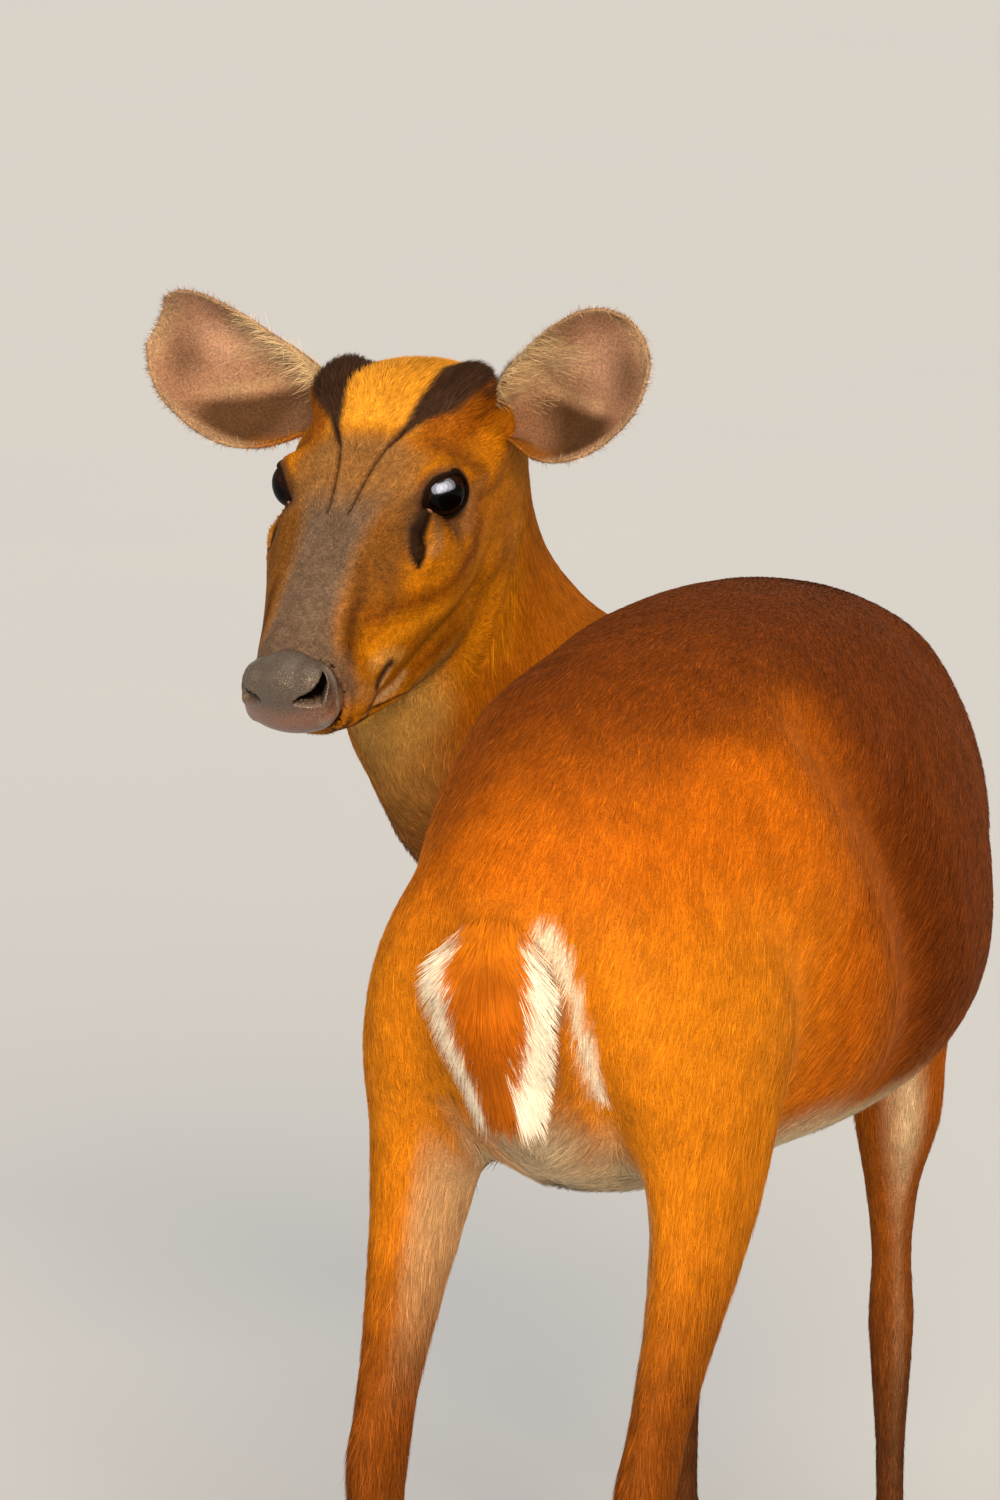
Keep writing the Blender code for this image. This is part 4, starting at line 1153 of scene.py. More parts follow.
@dataclass
class Hide:
    """The one skin under the hair, made of the nodes of flesh.

    Attributes:
        voxel: Mesh size on the body (metres).
        face_cuts: How often each edge is cut again on the head.
        fine_voxel: Mesh size of the head's true shape.
        obj: The skin's object.
        part: The number of the flesh node nearest to each vertex.
        plain: Where each vertex lay in the head frame before the folds were pressed in.
        skin: The surface of the head before the folds were pressed in.
    """

    voxel: float = 0.0044
    face_cuts: int = 3
    fine_voxel: float = 0.0013
    obj: Object = field(init=False)
    part: Array = field(init=False)
    plain: Array = field(init=False)
    skin: Skin = field(init=False)

    def flesh_nodes(self) -> list[str]:
        """The CAD nodes that the hide stands for."""
        ends = [(side.label, end) for side in Side for end in ("upper", "lower")]
        return [
            "torso", "neck", "head", *(f"{pair}_leg_{a}_{b}" for pair in ("hind", "fore") for a, b in ends),
        ]

    def closed_eyes(self) -> list[Object]:
        """Spheres that close the eye sockets while the hide is fused."""
        made = []
        for side in Side:
            low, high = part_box("eye_" + side.label)
            made.append(ball("closed_eye", (low + high) / 2, (EYE_RADIUS + 0.17) * CM, 16))
        return made

    def fused(self, names: Sequence[str], voxel: float, label: str, extra: Sequence[Object]) -> Object:
        """Fuse copies of nodes into one smooth skin.

        Args:
            names: The nodes.
            voxel: The mesh size.
            label: The object's name.
            extra: Other closed shapes to fuse in.

        Returns:
            The skin.
        """
        skin = copy_of(names, label)
        modified(skin, "DISPLACE", strength=CLOSE_GAP, mid_level=0.0)
        skin = joined(skin, *extra)
        modified(skin, "REMESH", mode="VOXEL", voxel_size=voxel)
        return skin

    def tail_core(self) -> Object:
        """The flesh of the tail, which ends half way to the tips of its hair."""
        core = ball("tail_core", Vector(), 1.0, 14)
        unit_points = points_of(core)
        share = (1 - unit_points[:, 2]) / 2
        rows = smooth_rows(TAIL_TABLE, -0.6 + share * 8.2)
        around = np.maximum(np.hypot(unit_points[:, 0], unit_points[:, 1]), 1e-6)
        ends = np.minimum(1.0, np.sqrt(np.clip(1 - share, 0, 1) * 4))
        across = unit_points[:, 0] / around * rows[:, 4] * ends * np.minimum(1.0, around * 2)
        deep = unit_points[:, 1] / around * rows[:, 5] * ends * np.minimum(1.0, around * 2)
        places = np.column_stack([rows[:, 1] + across, rows[:, 2] + deep, TAIL_TOP - rows[:, 0]])
        move_points(core, HEAD.from_plan(places))
        return core

    def build(self) -> Object:
        """Make the hide, with its finer head, open lids and the folds of the face."""
        skin = self.fused(self.flesh_nodes(), self.voxel, "hide", [*self.closed_eyes(), self.tail_core()])
        settle(skin, 10)
        self.obj = skin
        self.part = self.nearest_nodes()
        self.blend_joins()
        self.shape_body()
        unwrap(skin)
        self.part = self.nearest_nodes()
        centres = HEAD.local(face_centres(skin))
        with editing(skin, self.on_head(centres)):
            bpy.ops.mesh.subdivide(number_cuts=self.face_cuts)
        self.part = self.nearest_nodes()
        self.fit_head()
        self.thin_chin()
        with editing(skin, self.near_folds(HEAD.local(face_centres(skin)))):
            bpy.ops.mesh.subdivide(number_cuts=1)
        self.part = self.nearest_nodes()
        self.sink_coat()
        self.plain = HEAD.local(points_of(skin))
        self.skin = Skin(surface_of(skin))
        self.shape_face()
        self.open_lids()
        return skin

    def blend_joins(self) -> None:
        """Smooth the hide where the neck and the legs meet the trunk."""
        edges = edges_of(self.obj)
        torso = self.of_part("torso")
        at_join = np.zeros(len(torso))
        meets = torso[edges[:, 0]] != torso[edges[:, 1]]
        at_join[edges[meets].ravel()] = 1.0
        plan = HEAD.plan(points_of(self.obj))
        weight = np.minimum(relax(at_join, edges, 30) * 9.0, 1.0) * ramp(plan[:, 1], 20, 30)
        points = points_of(self.obj)
        for _ in range(40):
            points += (relax(points, edges, 1) - points) * weight[:, None]
        move_points(self.obj, points)

    def shape_body(self) -> None:
        """Model the thigh's edge, the flank's hollow, the hips and the shoulders."""
        points = points_of(self.obj)
        plan = HEAD.plan(points)
        folded = both_sides(plan)
        rise = np.zeros(len(points))
        for path, radius, height in (
            (THIGH_FRONT, 2.6, -0.75), (THIGH_BACK, 3.2, 0.35),
            (((5.8, 12.5, 53.5), (6.6, 15.5, 52.5)), 1.8, 0.3),
        ):
            rise += height * bell(along_path(folded, path)[0], radius)
        for side in Side:
            low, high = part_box(f"fore_leg_{side.label}_upper")
            x, y, z = HEAD.plan(np.array([(low + high) / 2]))[0]
            out = np.array([0.93, 0.37, 0.0]) * side.value
            blade = [np.array([x, y, z + 4]), np.array([x, y + 1, 42]), np.array([x, y - 3, 50])]
            blade = [place + out * far for place, far in zip(blade, (1.0, 2.6, 1.0))]
            behind = [place + np.array([-1.4, -5.2, 0.0]) for place in blade[:2]]
            rise += 0.9 * bell(along_path(plan, blade)[0], 3.4)
            rise -= 0.5 * bell(along_path(plan, behind)[0], 2.2)
        move_points(self.obj, points + normals_of(self.obj) * (rise * CM)[:, None])

    def on_head(self, local: Array) -> Array:
        """Which places of the head frame belong to the head and need the fine mesh."""
        x, y, z = local.T
        inside = (np.abs(x) < 6.2) & (y > -8.5) & (y < 13.5) & (z < 4.5)
        return inside & (z > np.interp(y, (-8.5, -2.0, 2.0), (-5.0, -10.6, -10.8)))

    def near_folds(self, local: Array) -> Array:
        """Which places lie so near a fold of the face that the mesh is cut finer still."""
        mirrored = both_sides(local)
        near = np.zeros(len(local), bool)
        for path, reach in ((SLIT, 0.3), (GLAND, 0.55), (MOUTH, 0.4), (SPOT, 0.4)):
            near |= along_path(mirrored, path)[0] < reach
        distance = np.linalg.norm(mirrored - EYE_AT, axis=1)
        return near | (distance < 2.0)

    def nearest_nodes(self) -> Array:
        """The number of the flesh node nearest to each vertex of the hide."""
        points = []
        faces = []
        owners = []
        for number, name in enumerate(self.flesh_nodes()):
            node = frame["nodes"][name]
            start = len(points)
            points.extend(vert.co for vert in node.data.vertices)
            for polygon in node.data.polygons:
                faces.append([start + i for i in polygon.vertices])
                owners.append(number)
        tree = BVHTree.FromPolygons(points, faces)
        return np.array([owners[tree.find_nearest(vert.co)[2]] for vert in self.obj.data.vertices])

    def far_from(self, name: str) -> Array:
        """How far each vertex is from a node of flesh, in cm."""
        tree = surface_of(frame["nodes"][name])
        return np.array([tree.find_nearest(vert.co)[3] for vert in self.obj.data.vertices]) / CM

    def of_part(self, label: str) -> Array:
        """One for the vertices whose nearest node has this label in its name, otherwise zero."""
        names = self.flesh_nodes()
        first, _, last = label.rpartition("_")
        wanted = [n == label or (bool(first) and n.startswith(first) and n.endswith(last)) for n in names]
        return np.array(wanted, float)[self.part]

    def fit_head(self) -> None:
        """Lay the finer mesh of the head onto its true shape."""
        pad = copy_of(["nose_pad"], "nose_core")
        modified(pad, "DISPLACE", strength=-CLOSE_GAP, mid_level=0.0)
        closed = [*self.closed_eyes(), pad]
        shape = self.fused(["head", "neck", "torso"], self.fine_voxel, "head_shape", closed)
        modified(shape, "SMOOTH", factor=0.5, iterations=9)
        group = self.obj.vertex_groups.new(name="head")
        local = HEAD.local(points_of(self.obj))
        weight = relax(self.on_head(local).astype(float), edges_of(self.obj), 4)
        for i, share in enumerate(weight):
            if share > 0.01:
                group.add([i], float(share), "REPLACE")
        modified(
            self.obj, "SHRINKWRAP", target=shape, wrap_method="NEAREST_SURFACEPOINT", vertex_group="head",
        )
        self.obj.vertex_groups.clear()
        bpy.data.objects.remove(shape, do_unlink=True)

    def thin_chin(self) -> None:
        """Draw the chin up to the mouth line, so that the lower lip is thin."""
        local = HEAD.local(points_of(self.obj))
        rows = np.array(MOUTH)[::-1]
        below = np.maximum(np.interp(local[:, 1], rows[:, 1], rows[:, 2]) - 0.1 - local[:, 2], 0.0)
        local[:, 2] += 0.52 * below * ramp(local[:, 1], 4.6, 7.4) * self.on_head(local)
        move_points(self.obj, HEAD.world(local))

    def coat_values(self, pick: str) -> Array:
        """One measure of the coat for each vertex, blended from node to node."""
        values = sum(getattr(part, pick) * self.of_part(label) for label, part in COAT_PARTS.items())
        return relax(values, edges_of(self.obj), 12)

    def sink_coat(self) -> None:
        """Lower the hide by the depth of the coat."""
        points = points_of(self.obj)
        depth = self.coat_values("depth") * CM
        local = HEAD.local(points)
        depth *= 1 - 1.25 * ramp(local[:, 1], 7.5, 9.6) * self.on_head(local)
        move_points(self.obj, points - normals_of(self.obj) * depth[:, None])

    def shape_face(self) -> None:
        """Press the slits, glands, mouth line and bare spots into the face, with soft raised edges."""
        points = points_of(self.obj)
        local = HEAD.local(points)
        mirrored = both_sides(local)
        rise = np.zeros(len(points))
        for side in Side:
            here = np.sign(local[:, 0] + 0.001 * side.value) == side.value
            for path, half, depth, lip in (
                (SLIT, 0.11, 0.15, 0.04), (GLAND, 0.16, 0.17, 0.05), (GLAND_FLOOR, 0.42, 0.16, 0.02),
                (MOUTH, 0.09, 0.2, 0.07), (SPOT, 0.28, 0.07, 0.05), (BROW_FOLD, 0.14, 0.05, 0.03),
            ):
                distance, place = along_path(local, self.skin.nearest(path, side.value))
                ends = ramp(place, -0.01, 0.4) * ramp(place, len(path) - 0.99, len(path) - 1.4) * here
                rise -= depth * ends * bell(distance, half)
                rise += lip * ends * bell(distance - 2.6 * half, 1.3 * half)
        for centre, radius, height in (
            ((3.45, 2.5, 0.1), 0.45, 0.1), ((3.0, -0.3, 1.55), 0.6, 0.06), ((2.9, 6.9, -4.3), 0.7, 0.06),
            ((2.2, 11.0, -6.2), 0.5, 0.05),
        ):
            distance = np.linalg.norm(mirrored - centre, axis=1)
            rise += height * bell(distance, radius)
        beside = ramp(mirrored[:, 0], 1.2, 1.9) * ramp(local[:, 1], 11.2, 10.4)
        rise += 0.2 * bell(NosePad().nearness(local) - 1.1, 0.1) * beside
        rise *= self.on_head(local)
        move_points(self.obj, points + normals_of(self.obj) * (rise * CM)[:, None])

    def open_lids(self) -> None:
        """Sink the hide between the lids behind the eyeball, and seat it on the round of the lids."""
        points = points_of(self.obj)
        for side in Side:
            lids = Lids(side)
            centre, axes = lids.frame()
            local = (points - centre) @ axes / CM
            radius = np.linalg.norm(local, axis=1)
            near = radius < EYE_REGION
            inside = lids.inside(local, 0.06)
            upper = ramp(local[:, 2], 0.1, 0.7)
            fold = lids.inside(local, 0.34, 0.12) * (1 - lids.inside(local, 0.2, 0.12)) * upper
            wanted = EYE_RADIUS + 0.1 - inside * 0.42 - 0.06 * fold
            lower = ramp(local[:, 2], 0.1, -0.9)
            seat = lids.inside(local, 0.5 + 0.5 * lower, 0.8 + 0.8 * lower)
            pull = np.maximum(np.maximum(inside, seat), ramp(radius, 1.7, 1.5) * (local[:, 1] > 0.0))
            scale = 1 + (wanted / np.maximum(radius, 1e-6) - 1) * pull
            points = np.where(near[:, None], centre + (local * scale[:, None]) @ axes.T * CM, points)
            band = lids.inside(local, 1.2, 0.5) * (1 - lids.inside(local, 0.3, 0.2))
            points = points + (relax(points, edges_of(self.obj), 8) - points) * band[:, None]
        move_points(self.obj, points)

    def lie(self) -> Array:
        """The direction of the hair for each vertex, along the surface."""
        points = points_of(self.obj)
        normals = normals_of(self.obj)
        plan = HEAD.plan(points)
        heading = math.radians(TRUNK_TURN) * np.clip(plan[:, 1] / TRUNK_LENGTH, 0.0, 1.15)
        spine = np.column_stack([-np.sin(heading), np.cos(heading), np.zeros(len(points))])
        down = np.tile((0.0, 0.0, -1.0), (len(points), 1))
        back = 0.35 + 0.65 * ramp(plan[:, 1], 4, 20)
        trunk = -spine * back[:, None] + down * 0.55
        limb = down - spine * 0.22
        local = HEAD.local(points)
        ones = np.ones(len(points))
        head = HEAD.ways(np.column_stack([np.sign(local[:, 0]) * 0.35, -ones, -0.15 * ones]))
        facing = ramp(-normals[:, 1], 0.35, 0.8) * ramp(local[:, 2], -7.0, -8.5)
        head = head + (down * 1.6 - head) * facing[:, None]
        neck = np.tile(NECK_LIE, (len(points), 1))
        ways = np.zeros_like(points)
        for label in COAT_PARTS:
            way = {"torso": trunk, "neck": neck, "head": head}.get(label, limb)
            ways += way * self.of_part(label)[:, None]
        return flat_on(relax(flat_on(ways, normals), edges_of(self.obj), 16), normals)

    def colours(self) -> Array:
        """The colour of each vertex."""
        points = points_of(self.obj)
        normals = normals_of(self.obj)
        edges = edges_of(self.obj)
        local = HEAD.local(points)
        head = self.of_part("head")
        neck = ramp(self.far_from("torso") - self.far_from("neck"), -7.0, 5.0)[:, None]
        made = MARKINGS.body(HEAD.plan(points), normals)
        made = made * (1 - neck) + MARKINGS.neck_colour(normals) * neck
        head = np.maximum(head, self.on_head(local))
        share = relax(head, edges, 6)[:, None]
        face = MARKINGS.head(self.plain, normals @ np.array(HEAD.turn), self.skin)
        paint = Paint(made * (1 - share) + face * share)
        for side in Side:
            lids = Lids(side)
            around = lids.round_eye(local)
            upper = ramp(around[:, 2], -0.2, 0.5)
            lower = ramp(around[:, 2], 0.0, -0.7)
            below = np.linalg.norm(local - (4.45 * side.value, 1.35, -0.6), axis=1)
            under_lid = np.linalg.norm(local - (4.3 * side.value, 1.4, -0.25), axis=1)
            for code, amount in (
                ("9A7044", 0.85 * ramp(below, 1.0, 0.4)),
                ("5A3C26", 0.85 * ramp(under_lid, 0.55, 0.25)),
                ("946A40", 0.75 * lids.inside(around, 1.2, 0.7) * lower),
                ("5A3C26", 0.85 * lids.inside(around, 0.42 + 0.1 * upper + 0.3 * lower, 0.4)),
                ("24170D", 0.95 * lids.inside(around, 0.16 + 0.06 * upper + 0.1 * lower, 0.2)),
            ):
                paint.lay(code, amount)
        return paint.colour

    def ground(self) -> Ground:
        """What the hair needs to know of the hide."""
        points = points_of(self.obj)
        local = HEAD.local(points)
        plan = HEAD.plan(points)
        colour = self.colours()
        lie = self.lie()
        on_head = self.on_head(local)
        shade = 0.82 * np.exp(0.3 * on_head * clumps(points, 0.0021))
        store(self.obj, COLOUR, colour * shade[:, None])
        store(self.obj, LIE, lie)
        length = self.coat_values("length")
        width = self.coat_values("width")
        lift = self.coat_values("lift")
        density = self.coat_values("density")
        muzzle = ramp(local[:, 1], 2.5, 7.0) * on_head
        length *= 1 - 0.45 * muzzle
        for side in Side:
            lids = Lids(side)
            length *= 1 - 0.5 * lids.inside(lids.round_eye(local), 0.5, 0.5)
            by_ear = ramp(np.linalg.norm(local - (4.9 * side.value, -5.6, 0.0), axis=1), 2.6, 1.0)
            length *= 1 + 1.7 * by_ear
            width *= 1 + 0.3 * by_ear
            lift = lift + 0.12 * by_ear
        chin = ramp(local[:, 1], 8.4, 9.6) * ramp(local[:, 2], -4.8, -5.8)
        length *= 1 + 0.9 * chin
        width *= 1 - 0.2 * muzzle
        crown = ramp(local[:, 1], -2.6, -5.0) * ramp(local[:, 2], 1.0, 2.2) * on_head
        length *= 1 + 1.3 * crown
        lift = lift + 0.15 * crown
        throat = ramp(local[:, 2], -8.0, -10.0) * on_head
        length *= 1 + 0.8 * throat
        density *= 1 - 0.999 * self.bare(local)
        density *= 1 - 0.3 * crown
        belly = ramp(plan[:, 2], 33, 31) * ramp(plan[:, 2], 26, 29) * ramp(plan[:, 1], 10, 16)
        length *= 1 + 0.5 * belly
        unruly = np.full(len(points), 0.15)
        dark = ramp(colour[:, 0], 0.45, 0.12)
        variety = 0.2 + 0.1 * dark + 0.14 * on_head
        return Ground(self.obj, lie, colour, length * CM, width * CM, lift, density * 1e4, unruly, variety)

    def bare(self, local: Array) -> Array:
        """Where no hair grows: between the lids, inside the folds and under the nose pad."""
        mirrored = both_sides(self.plain)
        bare = np.zeros(len(local))
        for path, outer, inner in BARE_PATHS:
            bare = np.maximum(bare, ramp(along_path(mirrored, self.skin.nearest(path))[0], outer, inner))
        bare = np.maximum(bare, ramp(NosePad().nearness(mirrored), 1.12, 1.07))
        for side in Side:
            lids = Lids(side)
            bare = np.maximum(bare, lids.inside(lids.round_eye(local), 0.14))
        return bare


# ---- eyes


@dataclass(frozen=True)
class Lids:
    """The two lids of one eye: the opening between them, their bare rims and the pink of the inner corner.

    Attributes:
        side: Which eye.
        opening: Angle (degrees) and reach (cm) of the left eye's opening, from the nose over the brow.
        rim: Half thickness of the rims (cm).
        corner: Where the pink of the inner corner lies in the left eye's axes (cm).
    """

    side: Side
    opening: Rows = (
        (24.0, 1.02), (65.0, 1.02), (112.0, 1.06), (141.0, 1.3), (173.0, 1.27), (204.0, 1.22), (235.0, 1.14),
        (264.0, 1.1), (291.0, 1.06), (321.0, 1.2), (335.0, 1.34), (350.0, 1.14),
    )
    rim: float = 0.05
    corner: Place = (1.0, 1.02, -0.47)

    def frame(self) -> tuple[Array, Array]:
        """The eye's centre in metres and its axes: to the inner or outer corner, the way it looks, and up."""
        low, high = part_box("eye_" + self.side.label)
        centre = np.array((low + high) / 2)
        x, y, z = EYE_AXIS
        look = unit(HEAD.ways((x * self.side.value, y, z)))
        up = HEAD.ways((0.0, -0.1, 1.0))
        across = unit(np.cross(look, up))
        return centre, np.column_stack([across, look, np.cross(across, look)])

    def round_eye(self, local: Array) -> Array:
        """Places of the head frame in the eye's axes (cm)."""
        centre, axes = self.frame()
        return (HEAD.world(local) - centre) @ axes / CM

    def reach(self, angle: Array) -> Array:
        """How far the opening reaches (cm) at angles round it, in radians."""
        degrees = np.arange(0, 360, 3.0)
        table = np.array(self.opening)
        rough = np.interp(degrees, table[:, 0], table[:, 1], period=360)
        smooth = sum(np.roll(rough, k) for k in (-2, -1, 0, 1, 2)) / 5
        return np.interp(np.degrees(angle) % 360, degrees, smooth, period=360)

    def inside(
        self, around: Array, spare: float | Array = 0.0, soft: float | Array = 0.08,
    ) -> Array:
        """One inside the opening, zero outside it.

        Args:
            around: Places in the eye's axes (cm).
            spare: By how much the opening is grown (cm).
            soft: The width over which the value falls (cm).

        Returns:
            One value for each place.
        """
        radius = np.linalg.norm(around, axis=1)
        across = -self.side.value * around[:, 0]
        distance = LID_SHELL * np.arctan2(np.hypot(across, around[:, 2]), around[:, 1])
        share = self.reach(np.arctan2(around[:, 2], across)) / LID_SHELL
        edge = LID_SHELL * np.arcsin(np.minimum(share, 1.0)) + spare
        return ramp(distance - edge, 0.4 * soft, -0.6 * soft) * (radius < EYE_REGION)

    def build(self, material: Material, pink: Material) -> None:
        """Make the rims of the lids as one ring on the eyeball, and the corner's small pink swelling."""
        tube = 0.25
        bpy.ops.mesh.primitive_torus_add(
            major_segments=96, minor_segments=12, major_radius=1.0, minor_radius=tube,
        )
        ring = bpy.context.object
        ring.name = "lid_rims_" + self.side.label
        raw = points_of(ring)
        angle = np.arctan2(raw[:, 1], raw[:, 0])
        out = (np.hypot(raw[:, 0], raw[:, 1]) - 1.0) / tube
        rise = raw[:, 2] / tube
        thick = self.rim * (1 + 0.5 * ramp(np.sin(angle), 0.0, 0.6))
        reach = self.reach(angle) + thick * (1.1 * out + 0.6)
        across, up = np.cos(angle) * reach * -self.side.value, np.sin(angle) * reach
        shell = LID_SHELL + 0.07 * rise
        depth = np.sqrt(np.maximum(shell**2 - across**2 - up**2, 0.01))
        centre, axes = self.frame()
        move_points(ring, centre + np.column_stack([across, depth, up]) @ axes.T * CM)
        face_outward(ring)
        finish_piece(ring, material, "nose_skin")
        swelling = ball("eye_corner_" + self.side.label, Vector(), 1.0, 12)
        middle = np.array(self.corner) * (-self.side.value, 1.0, 1.0)
        local = points_of(swelling) * (0.17, 0.2, 0.2) + middle
        radius = np.linalg.norm(local, axis=1)
        local = unit(local) * (EYE_RADIUS + 0.3 * (radius - np.linalg.norm(middle)))[:, None]
        move_points(swelling, centre + local @ axes.T * CM)
        finish_piece(swelling, pink, "nose_skin")


@dataclass(frozen=True)
class Eyeball:
    """One eyeball with the low dome of its cornea.

    Attributes:
        side: Which eye.
        bulge: Height of the dome, as a share of the eye's radius.
    """

    side: Side
    bulge: float = 0.08

    def build(self, material: Material) -> None:
        """Make the eyeball, and keep the way it looks for its iris."""
        eye = ball("eyeball_" + self.side.label, Vector(), 1.0, 32)
        raw = points_of(eye)
        dome = 1 + self.bulge * ramp(raw[:, 2], 0.6, 1.0)
        local = np.column_stack([raw[:, 0], raw[:, 2], raw[:, 1]])
        centre, axes = Lids(self.side).frame()
        move_points(eye, centre + (local * (dome * EYE_RADIUS * CM * 0.995)[:, None]) @ axes.T)
        face_outward(eye)
        store(eye, LIE, local)
        finish_piece(eye, material, "eye", "eye_" + self.side.label)


# ---- nose


@dataclass(frozen=True)
class NosePad:
    """The bare pad of the nose, with its two comma-shaped nostrils and their pale rims, whose paleness is
    partly a painted highlight.

    Attributes:
        voxel: Mesh size (metres).
        middle, radii: The round that the pad has without its nostrils, in the head frame.
        nostril: The line down the right nostril with its half width, from its inner tip to the slit above.
        rim: The raised rim round the outside of the right nostril.
        edge_middle, edge_radii: The round on which the pad meets the hair, in the head frame.
    """

    voxel: float = 0.0006
    middle: Place = (0.0, 10.75, -3.85)
    radii: Place = (2.42, 1.75, 2.2)
    nostril: Rows = (
        (0.95, 12.21, -2.9, 0.09), (1.25, 12.1, -2.86, 0.22), (1.62, 11.96, -2.82, 0.34),
        (1.92, 11.7, -2.7, 0.4), (2.1, 11.35, -2.45, 0.22), (2.08, 10.95, -2.12, 0.07),
    )
    rim: Rows = (
        (2.12, 10.5, -2.2), (2.34, 10.7, -2.8), (2.4, 10.9, -3.5), (2.22, 11.3, -4.05), (1.8, 11.75, -4.2),
    )
    edge_middle: Place = (0.0, 10.85, -3.75)
    edge_radii: Place = (2.4, 1.8, 2.2)

    def nearness(self, local: Array) -> Array:
        """The distance of places of the head frame from the pad's middle, 1 at its edge."""
        return np.linalg.norm((local - self.edge_middle) / self.edge_radii, axis=1)

    def build(self, material: Material) -> None:
        """Make the pad from its solid, carve its nostrils and colour it."""
        filler = ball("nose_filler", Vector(), 1.0, 32)
        move_points(filler, HEAD.world(points_of(filler) * self.radii + self.middle))
        pad = joined(copy_of(["nose_pad"], "nose_skin"), filler)
        modified(pad, "REMESH", mode="VOXEL", voxel_size=self.voxel)
        modified(pad, "SMOOTH", factor=0.5, iterations=14)
        modified(pad, "DISPLACE", strength=CLOSE_GAP, mid_level=0.0)
        local = HEAD.local(points_of(pad))
        dome = bell(local[:, 0], 1.5) * ramp(local[:, 2], -3.6, -2.2)
        local = local + dome[:, None] * (0.0, 0.05, 0.3)
        local[:, 2] += 0.26 * np.maximum(-4.0 - local[:, 2], 0.0)
        front = ramp(local[:, 1], 10.9, 11.9) * ramp(local[:, 2], -2.9, -3.6)
        local[:, 0] *= 1 + 0.16 * front - 0.03 * ramp(local[:, 1], 11.2, 10.4)
        move_points(pad, HEAD.world(local))
        skin = Skin(surface_of(pad))
        mirrored = both_sides(local)
        rows = np.array(self.nostril)
        distance, place = along_path(mirrored, skin.nearest(rows[:, :3]))
        half = np.interp(place, np.arange(len(rows)), rows[:, 3])
        hole = ramp(distance / half, 1.2, 0.6)
        ones = np.ones(len(local))
        inward = np.column_stack([-0.35 * np.sign(local[:, 0]), -ones, 0.15 * ones])
        deep = hole * (0.25 + 1.6 * half)
        on_rim = bell(along_path(mirrored, skin.nearest(self.rim))[0], 0.22)
        lip = bell(distance - half - 0.14, 0.12) * 0.05
        out = HEAD.local(points_of(pad) + normals_of(pad) * 0.01) - local
        back = ramp(local[:, 1], 10.9, 10.2) * 0.05
        local = local + unit(inward) * deep[:, None] + unit(out) * (on_rim * 0.09 + lip + back)[:, None]
        local += (relax(local, edges_of(pad), 12) - local) * ramp(hole, 0.0, 0.2)[:, None]
        move_points(pad, HEAD.world(local))
        paint = Paint.plain("5A4E46", len(local))
        paint.lay("8C6450", ramp(local[:, 2], -2.7, -4.1))
        # The rims' pale colour: partly a painted highlight.
        paint.lay("928A86", 0.75 * on_rim)
        # Painted shade: the insides of the nostrils near black.
        paint.lay("0A0706", ramp(hole, 0.15, 0.6))
        store(pad, COLOUR, paint.colour)
        finish_piece(pad, material, "nose_skin", "nose_pad")


# ---- ears


